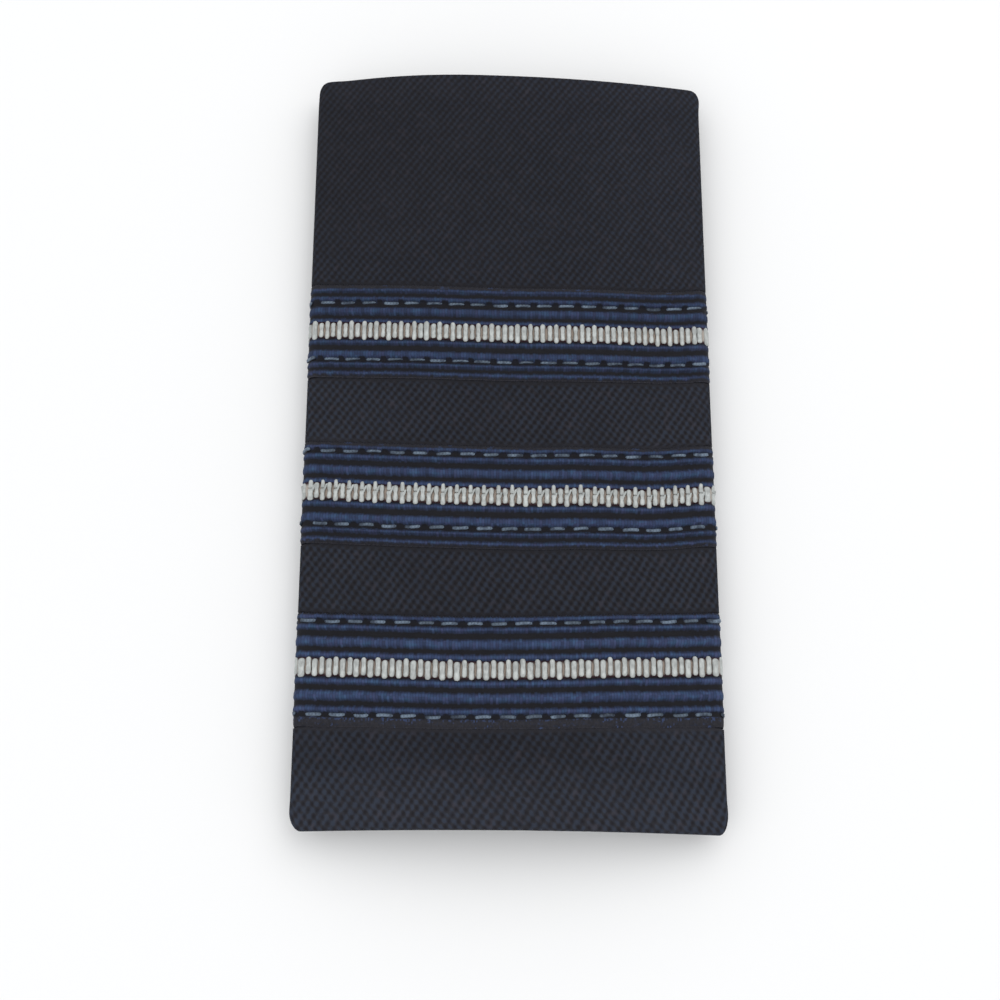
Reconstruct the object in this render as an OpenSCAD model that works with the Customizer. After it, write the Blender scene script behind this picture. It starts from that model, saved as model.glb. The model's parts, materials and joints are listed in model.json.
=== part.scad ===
// Soft shoulder slide: an open cloth sleeve with three ribbed braids sewn across it.
// Millimetres. It lies on its back: X runs across, +Y toward the plain end, +Z up.
// The sleeve is a flattened tube. Its section is a lens with a crease at each side, and every
// face of every piece is an offset of that lens, so the plies stay even and follow each other.

/* [Sleeve] */
// Length from end to end
sleeve_len = 99; // [90:1:120]
// Width across the two side folds
sleeve_w = 51; // [44:1:60]
// Thickness of one ply of cloth
ply = 1.0; // [1:0.1:1.4]
// Bend radius inside each side fold
crease_r = 0.15; // [0.1:0.05:0.3]
// Radius of the corners, seen from above
corner_r = 1.5; // [0.5:0.1:2.5]

/* [Hems and seam] */
// Depth of the turned-in hem at each end
hem_depth = 11; // [8:0.5:11]
// Thickness that the pressed hem adds inside
hem_ply = 0.3; // [0.2:0.1:0.5]
// Width of each seam allowance inside the back
allowance_w = 6; // [4:0.5:9]
// Thickness that the pressed allowances add inside
allowance_ply = 0.25; // [0.1:0.05:0.4]
// Half width of the groove along the back seam
seam_half = 0.3; // [0.2:0.05:0.6]
// Depth of that groove
seam_depth = 0.3; // [0.1:0.05:0.5]

/* [Braids] */
// Width of each braid
braid_w = 13; // [12.5:0.5:13]
// Height of a braid's tallest cord above the cloth
braid_t = 0.7; // [0.5:0.05:0.7]
// Centre of the lower braid from the shoulder end
first_braid = 18.9; // [18.9:0.1:22]
// Distance between the centres of two braids
braid_pitch = 21.6; // [20:0.1:24]
// Width of the silver centre
stripe_w = 2.4; // [1.6:0.1:2.4]
// Gap between a sewn piece and what it lies on
seat_gap = 0.08; // [0.05:0.01:0.12]
// How far the braids draw each side fold in
braid_pinch = 0.6; // [0:0.05:0.8]

/* [Hidden] */

CLOTH = [0.13, 0.14, 0.18];
NAVY = [0.17, 0.22, 0.38];
SILVER = [0.82, 0.84, 0.85];

// Form of the cloth's outer face, a row for each station.
// Columns: share of the length, height of the crest, height of the side folds,
// height of the flat back, how far the crest lies from the middle.
AT = 0;
CREST = 1;
FOLD = 2;
BACK = 3;
CREST_X = 4;
FORM = [
    [0.00, 8.0, 3.4, 0.35, 0],
    [0.11, 7.8, 3.4, 0.7, 0],
    [0.19, 7.7, 3.4, 0.7, 0],
    [0.41, 7.6, 3.4, 0.7, 0],
    [0.63, 7.6, 3.4, 0.7, -1],
    [0.71, 7.7, 3.5, 0.7, -1.5],
    [1.00, 8.2, 3.8, 0.35, -4],
];
// How the rows of cloth across the sleeve run, seen from above.
// Columns: share of the length, how far both sides lead the middle toward the plain end,
// how far the right side trails the left one.
BOW = 1;
SKEW = 2;
ROWS = [
    [0.00, -0.2, 0.3],
    [0.19, 1.3, 0.05],
    [0.41, 1.4, 0.15],
    [0.63, 1.4, 0.25],
    [1.00, 0.25, 0.55],
];
// Relief of a braid from its centre line to its edge.
// Columns: share of the half width, height as a share of the tallest cord.
CORDS = [
    [0.20, 0.36],
    [0.22, 0.8],
    [0.31, 0.5],
    [0.38, 1],
    [0.54, 1],
    [0.61, 0.5],
    [0.73, 0.95],
    [0.97, 0.7],
];
// Relief of the silver centre. Columns: share of the half width, height as for the cords.
STRIPE_RELIEF = [
    [0.6, 0.92],
    [1, 0.78],
];

half_w = sleeve_w / 2;
outer_off = ply + crease_r;
channel_floor = CORDS[0][1] * braid_t;
// Share of the half width over which the back is flat
flat_back = 0.5;
// Shares of the half width at which the back is bent past that
back_bends = [0.64, 0.78, 0.91];
// Width of the bevel at the edge of a seam allowance
allowance_bevel = 0.5;
// A hem narrows the inside at the side folds by this many times its thickness
hem_narrowing = 3;
// Length over which the corners' rounding dies out
corner_fade = 4;
// Length over which a fold is drawn in beside a braid
pinch_ramp = 1.2;
// How far past a braid's edge the fold stays fully drawn in
braid_clear = 0.1;
// Length of the rounding at the turned edge of an end
edge_r = 0.35;
// Length over which the raw edge of a hem steps down to the single ply
hem_step = 0.4;
// Distances from an end at which the outer face has a row of points
end_rows = [2.5, 6];
// Number of rows on the plain cloth past the upper braid
plain_count = 3;

// Value of a table's column at share s, on a monotone cubic through its rows.
function row_before(table, s, i = 0) =
    i >= len(table) - 2 || s < table[i + 1][AT] ? i : row_before(table, s, i + 1);
function rise(table, c, i) =
    (table[i + 1][c] - table[i][c]) / (table[i + 1][AT] - table[i][AT]);
function slope_at(table, c, i) =
    i == 0 ? rise(table, c, 0)
    : i == len(table) - 1 ? rise(table, c, i - 1)
    : let (a = rise(table, c, i - 1), b = rise(table, c, i)) a * b <= 0 ? 0 : 2 * a * b / (a + b);
function col(table, c, s) =
    let (
        i = row_before(table, s),
        h = table[i + 1][AT] - table[i][AT],
        t = (s - table[i][AT]) / h,
        m0 = slope_at(table, c, i) * h,
        m1 = slope_at(table, c, i + 1) * h
    )
    table[i][c] * (1 + 2 * t) * pow(1 - t, 2) + m0 * t * pow(1 - t, 2)
    + table[i + 1][c] * (3 - 2 * t) * t * t + m1 * t * t * (t - 1);

// Distance of a braid's centre line from the shoulder end, and how far the folds are drawn in there.
function braid_centre(i) = first_braid + i * braid_pitch;
function beside_braid(v) =
    min([for (i = [0:2]) max(0, abs(v - braid_centre(i)) - braid_w / 2 - braid_clear)]);
function pinch(v) = braid_pinch * max(0, 1 - beside_braid(v) / pinch_ramp);
// The crease lens at v: [half width, roof rise, floor drop, height of the folds, place of the crest].
function lens(v, shrink) =
    let (s = v / sleeve_len, fold = col(FORM, FOLD, s))
    [
        half_w - pinch(v) - outer_off - hem_narrowing * shrink,
        col(FORM, CREST, s) - fold - outer_off - shrink,
        fold - col(FORM, BACK, s) - outer_off - shrink,
        fold,
        col(FORM, CREST_X, s),
    ];

// A point of the lens offset outward by off, as [x, z]. A column is [zone, place]. On the back and
// the front its place is a share of the half width. Round a fold the sign of its place is the side,
// and what is above 1 in its size is the share of the turn from the back to the front.
ON_BACK = 0;
ROUND_FOLD = 1;
ON_FRONT = 2;
function front_reach(l, x) = (x < l[4] ? -l[0] : l[0]) - l[4];
function back_drop(u) = u < flat_back ? 1 : 1 - pow((u - flat_back) / (1 - flat_back), 2);
function back_slope(l, x) =
    let (u = abs(x) / l[0])
    u < flat_back ? 0 : 2 * l[2] * (u - flat_back) / pow(1 - flat_back, 2) / l[0] * sign(x);
function offset_point(x, z, direction, off) = [x, z] + off * direction / norm(direction);
function on_back(l, x, off) =
    offset_point(x, l[3] - l[2] * back_drop(abs(x) / l[0]), [back_slope(l, x), -1], off);
function on_front(l, x, off) =
    let (w = (x - l[4]) / front_reach(l, x))
    offset_point(x, l[3] + l[1] * (1 - w * w), [2 * l[1] * w / front_reach(l, x), 1], off);
function round_fold(l, side, turn, off) =
    let (
        from = -atan2(1, back_slope(l, l[0])),
        to = atan2(1, 2 * l[1] / (l[0] - side * l[4])),
        a = from + (to - from) * turn
    )
    [side * (l[0] + off * cos(a)), l[3] + off * sin(a)];
function ring_point(column, l, off) =
    column[0] == ON_BACK ? on_back(l, column[1] * l[0], off)
    : column[0] == ON_FRONT ? on_front(l, column[1] * l[0], off)
    : round_fold(l, sign(column[1]), abs(column[1]) - 1, off);

// The columns round the sleeve, from the seam over the right fold and the front back to the seam.
back_columns = concat(
    [for (x = [seam_half, allowance_w, allowance_w + allowance_bevel]) x / half_w],
    [flat_back],
    back_bends
);
front_steps = 12;
fold_steps = 5;
last_back = len(back_columns) - 1;
COLUMNS = concat(
    [for (u = back_columns) [ON_BACK, u]],
    [for (k = [0:fold_steps]) [ROUND_FOLD, 1 + k / fold_steps]],
    [for (k = [1:front_steps - 1]) [ON_FRONT, 1 - 2 * k / front_steps]],
    [for (k = [0:fold_steps]) [ROUND_FOLD, -2 + k / fold_steps]],
    [for (k = [0:last_back]) [ON_BACK, -back_columns[last_back - k]]]
);
SEAM_COLUMN = [ON_BACK, 0];

// A point in space for a column: v along the cloth, off the lens, shrink for a hem inside.
function corner_pull(x, v) =
    let (
        from_end = min(v, sleeve_len - v),
        past = max(0, abs(x) - half_w + corner_r),
        pull = corner_r - sqrt(max(0, corner_r * corner_r - past * past))
    )
    pull * max(0, 1 - from_end / corner_fade) * (v < sleeve_len / 2 ? 1 : -1);
function warp(x, v) =
    let (s = v / sleeve_len, u = x / half_w)
    col(ROWS, BOW, s) * (u * u - 0.5) - col(ROWS, SKEW, s) * u;
function along_y(column, v) =
    let (x = ring_point(column, lens(v, 0), outer_off)[0])
    v + warp(x, v) + corner_pull(x, v);
near_end = min([for (c = COLUMNS) along_y(c, 0)]);
far_end = max([for (c = COLUMNS) along_y(c, sleeve_len)]);
function cloth_point(column, v, off, shrink) =
    let (p = ring_point(column, lens(v, shrink), off))
    [p[0], along_y(column, v) - (near_end + far_end) / 2, p[1]];

// A closed skin over rows of points. Rows close on themselves; columns close or end in caps.
// A cap is two fans of triangles, one from each lower corner, that meet at the middle.
module skin(rows, closed) {
    n = len(rows);
    m = len(rows[0]);
    turns = closed ? m : m - 1;
    sides = [
        for (i = [0:n - 1], j = [0:turns - 1])
            let (a = i * m + j, b = i * m + (j + 1) % m, c = (i + 1) % n * m + (j + 1) % m,
                 d = (i + 1) % n * m + j)
            each [[a, b, c], [a, c, d]]
    ];
    half = n / 2 - 1;
    fans = concat(
        [for (i = [1:half]) [0, i, i + 1]],
        [[0, half + 1, n - 1]],
        [for (i = [half + 1:n - 3]) [n - 1, i, i + 1]]
    );
    caps = closed ? [] : [
        for (f = fans)
            each [m * f, [m * f[2] + m - 1, m * f[1] + m - 1, m * f[0] + m - 1]]
    ];
    polyhedron(points = [for (r = rows) each r], faces = concat(sides, caps));
}

// The sleeve's path, as stations [v, off, shrink]: out along the outer face, back along the inner.
function braid_rows(i) =
    let (c = braid_centre(i), e = braid_w / 2 + braid_clear)
    [c - e - pinch_ramp, c - e, c, c + e, c + e + pinch_ramp];
between_ends = concat(braid_rows(0), braid_rows(1), braid_rows(2));
plain_from = between_ends[len(between_ends) - 1];
plain_rows = [
    for (k = [1:plain_count]) plain_from + (sleeve_len - hem_depth - plain_from) * k / plain_count
];
// The turned edge. Columns: distance from the end as a share of edge_r, share of the ply from its
// inner face.
rim = [[0.3, 0.85], [0, 0.5], [0.3, 0.15]];
outer_rows = concat([edge_r], end_rows, between_ends, plain_rows,
    [for (d = reversed(end_rows)) sleeve_len - d], [sleeve_len - edge_r]);
// The hems' inner faces. Columns: v, share of the hem's thickness.
inner_far = [
    [sleeve_len - edge_r, 1],
    [sleeve_len - end_rows[0], 1],
    [sleeve_len - hem_depth + hem_step, 1],
    [sleeve_len - hem_depth, 0],
];
inner_near = [[hem_depth, 0], [hem_depth - hem_step, 1], [end_rows[0], 1], [edge_r, 1]];
function rim_row(end, depth, layer) =
    [end ? sleeve_len - depth * edge_r : depth * edge_r, crease_r + layer * ply,
     hem_ply * (1 - layer)];
function reversed(a) = [for (k = [len(a) - 1:-1:0]) a[k]];
sleeve_path = concat(
    [for (v = outer_rows) [v, outer_off, 0]],
    [for (r = rim) rim_row(true, r[0], r[1])],
    [for (r = inner_far) [r[0], crease_r, hem_ply * r[1]]],
    [for (v = reversed(between_ends)) [v, crease_r, 0]],
    [for (r = inner_near) [r[0], crease_r, hem_ply * r[1]]],
    [for (r = reversed(rim)) rim_row(false, r[0], r[1])]
);

// The pressed allowances stand inside the back, and the seam's groove runs up its outside.
function on_allowance(column) = abs(column[1]) * half_w < allowance_w + allowance_bevel / 2;
function seam_lift(column, off, shrink) =
    column[0] != ON_BACK ? 0
    : off > (outer_off + crease_r) / 2
        ? (column[1] == 0 ? seam_depth : 0)
        : on_allowance(column) ? max(0, allowance_ply - shrink) : 0;

module sleeve() {
    color(CLOTH)
    skin([
        for (st = sleeve_path) [
            for (c = concat(COLUMNS, [SEAM_COLUMN]))
                cloth_point(c, st[0], st[1], st[2]) + [0, 0, seam_lift(c, st[1], st[2])]
        ]
    ], closed = true);
}

// A band laid on the cloth from one side of the seam round to the other. Its outline is a list of
// [distance from its centre line, height above the cloth], from one edge over the top and back.
module band(i, outline) {
    skin([
        for (o = outline) [
            for (c = COLUMNS) cloth_point(c, braid_centre(i) + o[0], outer_off + o[1], 0)
        ]
    ], closed = false);
}

function mirrored(half) = concat(reversed([for (p = half) [-p[0], p[1]]]), half);

module braid(i) {
    edge = braid_w / 2;
    top = mirrored([for (p = CORDS) [p[0] * edge, p[1] * braid_t]]);
    color(NAVY)
    band(i, concat([[-edge, seat_gap]], top, [[edge, seat_gap]]));
}

module stripe(i) {
    edge = stripe_w / 2;
    bottom = channel_floor + seat_gap;
    top = mirrored([for (p = STRIPE_RELIEF) [p[0] * edge, p[1] * braid_t]]);
    color(SILVER)
    band(i, concat([[-edge, bottom]], top, [[edge, bottom]]));
}

module lower_braid() { braid(0); }
module middle_braid() { braid(1); }
module upper_braid() { braid(2); }
module lower_stripe() { stripe(0); }
module middle_stripe() { stripe(1); }
module upper_stripe() { stripe(2); }

sleeve();
lower_braid();
middle_braid();
upper_braid();
lower_stripe();
middle_stripe();
upper_stripe();
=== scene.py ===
"""Soft shoulder slide: an open cloth sleeve with ribbed braids and silver centres sewn across it.

The slide lies on its back with the plain end along +Y. Sizes in the classes are in millimetres,
and meshes are written in metres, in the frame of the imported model.
"""

import json
import logging
import math
from collections.abc import Iterator
from contextlib import contextmanager
from dataclasses import dataclass
from enum import Enum
from functools import cached_property, reduce

import bmesh
import bpy
import numpy as np
from mathutils import Euler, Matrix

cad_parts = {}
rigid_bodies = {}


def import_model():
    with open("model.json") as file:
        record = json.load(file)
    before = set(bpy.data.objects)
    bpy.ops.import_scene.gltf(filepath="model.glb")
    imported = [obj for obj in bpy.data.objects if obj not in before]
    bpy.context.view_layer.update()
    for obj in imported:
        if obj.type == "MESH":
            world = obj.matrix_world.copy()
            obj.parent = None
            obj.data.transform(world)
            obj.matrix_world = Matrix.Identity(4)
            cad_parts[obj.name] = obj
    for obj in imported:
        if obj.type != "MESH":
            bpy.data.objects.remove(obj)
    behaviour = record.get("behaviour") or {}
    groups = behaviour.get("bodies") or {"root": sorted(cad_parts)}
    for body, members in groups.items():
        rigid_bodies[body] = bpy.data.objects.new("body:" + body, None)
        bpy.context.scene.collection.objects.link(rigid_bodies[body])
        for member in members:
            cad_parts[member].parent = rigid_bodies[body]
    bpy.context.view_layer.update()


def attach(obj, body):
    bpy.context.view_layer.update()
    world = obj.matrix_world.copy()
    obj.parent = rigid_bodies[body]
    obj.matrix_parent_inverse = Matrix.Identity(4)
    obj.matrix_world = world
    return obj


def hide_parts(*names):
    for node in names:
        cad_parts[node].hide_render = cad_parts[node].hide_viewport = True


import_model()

log = logging.getLogger("shoulder_slide")
MM = 0.001
ROOT = "root"
Colour = tuple[float, float, float]
Table = tuple[tuple[float, ...], ...]


def curve_value(table: Table, column: int, share: np.ndarray) -> np.ndarray:
    """Reads a column of a table on a monotone cubic through its rows.

    Args:
        table: Rows that start with their place, from 0 to 1.
        column: Which value of each row is wanted.
        share: Places at which it is wanted.

    Returns:
        The column's value at each place.
    """
    at = np.array([row[0] for row in table])
    y = np.array([row[column] for row in table])
    h = np.diff(at)
    rise = np.diff(y) / h
    slope = np.empty(len(at))
    slope[0], slope[-1] = rise[0], rise[-1]
    a, b = rise[:-1], rise[1:]
    same = a * b > 0
    slope[1:-1] = np.where(same, 2 * a * b / np.where(same, a + b, 1), 0)
    i = np.clip(np.searchsorted(at, share, side="right") - 1, 0, len(at) - 2)
    t = (share - at[i]) / h[i]
    start = y[i] * (1 + 2 * t) * (1 - t) ** 2 + slope[i] * h[i] * t * (1 - t) ** 2
    end = y[i + 1] * (3 - 2 * t) * t * t + slope[i + 1] * h[i] * t * t * (t - 1)
    return start + end


@dataclass(frozen=True)
class Lens:
    """The section of the pressed tube at some places along it.

    Args:
        half: Half width between the two creases.
        roof: Rise of the front over the creases.
        floor: Drop of the back under them.
        fold: Height of the creases.
        crest_x: How far the crest lies from the middle.
    """

    half: np.ndarray
    roof: np.ndarray
    floor: np.ndarray
    fold: np.ndarray
    crest_x: np.ndarray


@dataclass(frozen=True)
class Corner:
    """How one corner of the sleeve is rounded, seen from above.

    Args:
        across: How far the rounding reaches across.
        along: How far it reaches along.
        flare: How far the side stands out beside it.
        ear: How far the end stands out beside it.
    """

    across: float
    along: float
    flare: float
    ear: float = 0.0


@dataclass(frozen=True)
class SleeveForm:
    """The pressed tube that every piece follows, as the solid model has it.

    A `turn` runs round it from the back seam over the right fold, the front and the left fold and
    back to the seam, with one unit for each of the five stretches. A place round it can also be
    given as the girth in millimetres from the middle of the front, positive to the right.
    """

    length: float = 99.0
    width: float = 51.25
    outer: float = 1.15
    near_left: Corner = Corner(1.35, 2.3, 0.04)
    near_right: Corner = Corner(0.95, 2.6, 0.07)
    far_left: Corner = Corner(1.3, 1.5, -0.05, 0.20)
    far_right: Corner = Corner(1.5, 1.4, 0.12)
    corner_fade: float = 4.0
    ear_reach: float = 1.6
    flare_fade: float = 2.0
    front_lip: float = 0.07
    back_tuck: float = 0.65
    lip_fade: float = 5.0
    hem_narrowing: float = 3.0
    flat_back: float = 0.5
    first_braid: float = 18.9
    braid_pitch: float = 21.6
    # For each braid, its edges as distances from its centre line.
    braid_edges: tuple[tuple[float, float], ...] = ((-7.05, 6.6), (-6.4, 6.72), (-6.15, 6.55))
    braid_pinch: float = 0.36
    pinch_ramp: float = 0.2
    braid_clear: float = 0.03
    fold_place: float = 27.0
    swell: float = 0.13
    # Share of the length, crest, height of the folds, height of the back, place of the crest.
    stations: Table = (
        (0.00, 8.0, 3.4, 0.35, 0.0),
        (0.11, 7.8, 3.4, 0.7, 0.0),
        (0.19, 7.7, 3.4, 0.7, 0.0),
        (0.41, 7.6, 3.4, 0.7, 0.0),
        (0.63, 7.6, 3.4, 0.7, -1.0),
        (0.71, 7.7, 3.5, 0.7, -1.5),
        (1.00, 8.2, 3.8, 0.35, -4.0),
    )
    # Share of the length, lead of both sides over the middle, trail of the right side.
    rows: Table = (
        (0.00, 0.0, 0.24),
        (0.19, 1.3, 0.05),
        (0.41, 1.4, 0.15),
        (0.63, 1.4, 0.25),
        (1.00, 0.25, 0.55),
    )
    # For each braid, girth and how far it strays there toward the plain end.
    strays: tuple[Table, ...] = (
        ((-32, 0.0), (-23, 0.03), (-18, 0.11), (-10, 0.07), (-6, 0.02), (4, 0.13),
         (10, 0.21), (14, 0.25), (18, 0.15), (24, 0.08), (32, 0.0)),
        ((-32, 0.0), (-24, 0.22), (-14, 0.05), (-8, -0.05), (0, -0.19), (4, -0.23),
         (8, -0.15), (12, -0.25), (17, -0.42), (20, -0.36), (24, -0.1), (32, 0.0)),
        ((-32, 0.0), (-25, 0.18), (-19, 0.12), (-12, 0.07), (-6, -0.06), (0, -0.16),
         (8, -0.13), (13, -0.2), (19, -0.36), (22, -0.3), (25, -0.1), (32, 0.0)),
    )
    # For each soft wave of the front: its share, its lengths along and across, where it starts.
    waves: Table = ((0.5, 41, 95, 0.15), (0.25, 23, -61, 0.6), (0.25, 160, 33, 0.3))

    def braid_centre(self, index: int) -> float:
        """Returns the distance of a braid's centre line from the shoulder end."""
        return self.first_braid + index * self.braid_pitch

    def stray(self, index: int, girth: np.ndarray) -> np.ndarray:
        """Returns how far a braid strays toward the plain end at a girth."""
        table = np.array(self.strays[index])
        return np.interp(girth, table[:, 0], table[:, 1])

    def beside_braid(self, v: np.ndarray, girth: np.ndarray) -> np.ndarray:
        """Gives how far a place is from the nearest braid's edge.

        Args:
            v: Distance along the cloth from the shoulder end.
            girth: Place round the sleeve.

        Returns:
            The distance, which is 0 under a braid.
        """
        gaps = []
        for i, (low, high) in enumerate(self.braid_edges):
            w = v - self.braid_centre(i) - self.stray(i, girth)
            gaps.append(np.maximum(0, np.maximum(low - w, w - high) - self.braid_clear))
        return np.minimum.reduce(gaps)

    def lens(self, v: np.ndarray, shrink: np.ndarray, side: np.ndarray) -> Lens:
        """Gives the section at some places.

        Args:
            v: Distance along the cloth from the shoulder end.
            shrink: How much a hem narrows the inside there.
            side: 1 for its right half and -1 for its left half.

        Returns:
            The section at each place.
        """
        share = v / self.length
        crest, fold, back, crest_x = (curve_value(self.stations, c, share) for c in range(1, 5))
        beside = self.beside_braid(v, side * self.fold_place)
        pinch = self.braid_pinch * np.maximum(0, 1 - beside / self.pinch_ramp)
        return Lens(
            half=self.width / 2 - pinch - self.outer - self.hem_narrowing * shrink,
            roof=crest - fold - self.outer - shrink,
            floor=fold - back - self.outer - shrink,
            fold=fold,
            crest_x=crest_x,
        )

    def ring(
        self, turn: np.ndarray, v: np.ndarray, off: np.ndarray, shrink: np.ndarray
    ) -> tuple[np.ndarray, np.ndarray]:
        """Places points round the section.

        Args:
            turn: Place round the section, from 0 to 5.
            v: Distance along the cloth from the shoulder end.
            off: Distance outward from the section's lens.
            shrink: How much a hem narrows the inside there.

        Returns:
            X across and Z up, both in millimetres.
        """
        turn, v, off, shrink = np.broadcast_arrays(turn, v, off, shrink)
        side = np.where(turn < 2.5, 1.0, -1.0)
        s = self.lens(v, shrink, side)
        back = np.where(turn < 2.5, np.clip(turn, 0, 1), np.clip(turn - 5, -1, 0))
        past = np.maximum(0, np.abs(back) - self.flat_back) / (1 - self.flat_back)
        back_slope = 2 * s.floor * past / (1 - self.flat_back) / s.half * side
        size = np.hypot(back_slope, 1)
        back_x = back * s.half + off * back_slope / size
        back_z = s.fold - s.floor * (1 - past**2) - off / size
        place = 1 - 2 * (np.clip(turn, 2, 3) - 2)
        x = place * s.half
        reach = np.where(x < s.crest_x, -s.half, s.half) - s.crest_x
        w = (x - s.crest_x) / reach
        front_slope = 2 * s.roof * w / reach
        size = np.hypot(front_slope, 1)
        front_x = x + off * front_slope / size
        front_z = s.fold + s.roof * (1 - w * w) + off / size
        share = np.where(turn < 2.5, np.clip(turn - 1, 0, 1), np.clip(4 - turn, 0, 1))
        first = -np.arctan2(1, 2 * s.floor / (1 - self.flat_back) / s.half)
        last = np.arctan2(1, 2 * s.roof / (s.half - side * s.crest_x))
        angle = first + (last - first) * share
        fold_x = side * (s.half + off * np.cos(angle))
        fold_z = s.fold + off * np.sin(angle)
        on_back = (turn <= 1) | (turn >= 4)
        on_front = (turn >= 2) & (turn <= 3)
        pick_x = np.where(on_back, back_x, np.where(on_front, front_x, fold_x))
        pick_z = np.where(on_back, back_z, np.where(on_front, front_z, fold_z))
        return pick_x, pick_z

    def along(self, turn: np.ndarray, v: np.ndarray) -> np.ndarray:
        """Gives the place along the sleeve, with the lean of the rows and the round corners.

        Args:
            turn: Place round the section.
            v: Distance along the cloth from the shoulder end.

        Returns:
            Distance from the shoulder end, seen from above.
        """
        x, _ = self.ring(turn, v, self.outer, 0.0)
        across = x / (self.width / 2)
        share = v / self.length
        lead = curve_value(self.rows, 1, share) * (across**2 - 0.5)
        trail = curve_value(self.rows, 2, share) * across
        near = v < self.length / 2
        wide, deep, ear = (self.at_corner(name, x, near) for name in ("across", "along", "ear"))
        past = np.maximum(0, np.abs(x) - self.width / 2 + wide) / wide
        pull = deep * (1 - np.sqrt(np.maximum(0, 1 - past**2)))
        beside = (self.width / 2 - self.ear_reach - np.abs(x)) / self.ear_reach
        pull = pull - ear * np.exp(-(beside**2))
        from_end = np.minimum(v, self.length - v)
        fade = np.maximum(0, 1 - from_end / self.corner_fade)
        return v + lead - trail + pull * fade * np.where(near, 1, -1)

    def at_corner(self, name: str, x: np.ndarray, near: np.ndarray) -> np.ndarray:
        """Reads a value of the nearest corner.

        Args:
            name: Which of its values is wanted.
            x: Place across.
            near: True at the shoulder end.

        Returns:
            The value.
        """
        at_near = np.where(x > 0, getattr(self.near_right, name), getattr(self.near_left, name))
        at_far = np.where(x > 0, getattr(self.far_right, name), getattr(self.far_left, name))
        return np.where(near, at_near, at_far)

    def lip(self, turn: np.ndarray, v: np.ndarray) -> np.ndarray:
        """Gives how far the front stands out past the shoulder end, and the back falls short of it.

        Args:
            turn: Place round the section.
            v: Distance along the cloth from the shoulder end.

        Returns:
            Distance to move toward the plain end.
        """
        front = np.clip(np.minimum(turn - 1, 4 - turn), 0, 1)
        front = front * front * (3 - 2 * front)
        reach = self.back_tuck - (self.back_tuck + self.front_lip) * front
        return reach * np.exp(-((np.maximum(v, 0) / self.lip_fade) ** 2))

    @cached_property
    def middle(self) -> float:
        """Returns the distance from the shoulder end to the frame's origin."""
        turn = np.linspace(0.01, 4.99, 3000)
        near = self.along(turn, np.zeros_like(turn)).min()
        far = self.along(turn, np.full_like(turn, self.length)).max()
        return float(near + far) / 2

    @cached_property
    def girths(self) -> tuple[np.ndarray, np.ndarray]:
        """Returns matching turns and girths round the outer face, the girths rising."""
        turn = np.linspace(0, 5, 6001)
        x, z = self.ring(turn, np.full_like(turn, 50.0), self.outer, 0.0)
        run = np.concatenate([[0], np.cumsum(np.hypot(np.diff(x), np.diff(z)))])
        return turn[::-1], (np.interp(2.5, turn, run) - run)[::-1]

    @cached_property
    def fold_girth(self) -> float:
        """Returns the girth from the middle of the front to the right fold."""
        return float(np.interp(1.5, self.girths[0][::-1], self.girths[1][::-1]))

    @property
    def seam_girth(self) -> float:
        """Returns the girth from the middle of the front to the back seam."""
        return float(self.girths[1][-1])

    def turn_at(self, girth: np.ndarray) -> np.ndarray:
        """Returns the turn at a girth."""
        return np.interp(girth, self.girths[1], self.girths[0])

    def wave(self, turn: np.ndarray, v: np.ndarray, x: np.ndarray) -> np.ndarray:
        """Gives the soft unevenness of the front, which dies out at the folds.

        Args:
            turn: Place round the section.
            v: Distance along the cloth.
            x: Place across.

        Returns:
            Height to add to the front.
        """
        fade = np.sin(np.pi * np.clip(turn - 2, 0, 1)) ** 2
        made = sum(share * np.sin(2 * np.pi * (v / along + x / across + start))
                   for share, along, across, start in self.waves)
        return self.swell * fade * made

    def points(
        self, girth: np.ndarray, v: np.ndarray, lift: np.ndarray, shrink: np.ndarray | float = 0.0
    ) -> np.ndarray:
        """Places points on and about the cloth.

        Args:
            girth: Place round the sleeve from the middle of the front.
            v: Distance along the cloth from the shoulder end.
            lift: Height over the cloth's outer face.
            shrink: How much a hem narrows the inside there.

        Returns:
            Points in millimetres, with X, Y and Z last.
        """
        girth, v, lift, shrink = np.broadcast_arrays(girth, v, lift, shrink)
        turn = self.turn_at(girth)
        x, z = self.ring(turn, v, self.outer + lift, shrink)
        y = self.along(turn, v) + self.lip(turn, v) - self.middle
        from_end = np.minimum(v, self.length - v)
        flare = self.at_corner("flare", x, v < self.length / 2)
        flare = flare * np.exp(-((from_end / self.flare_fade) ** 2))
        x = x * (1 + flare * 2 / self.width)
        return np.stack([x, y, z + self.wave(turn, v, x)], axis=-1)

    def directions(
        self, girth: np.ndarray, v: np.ndarray
    ) -> tuple[np.ndarray, np.ndarray, np.ndarray]:
        """Gives unit directions on the cloth's outer face.

        Args:
            girth: Place round the sleeve.
            v: Distance along the cloth.

        Returns:
            The directions round it, along it and out of it.
        """
        step = 0.05
        round_it = self.points(girth + step, v, 0.0) - self.points(girth - step, v, 0.0)
        along = self.points(girth, v + step, 0.0) - self.points(girth, v - step, 0.0)
        out = np.cross(round_it, along)
        return tuple(d / np.linalg.norm(d, axis=-1, keepdims=True) for d in (round_it, along, out))


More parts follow.
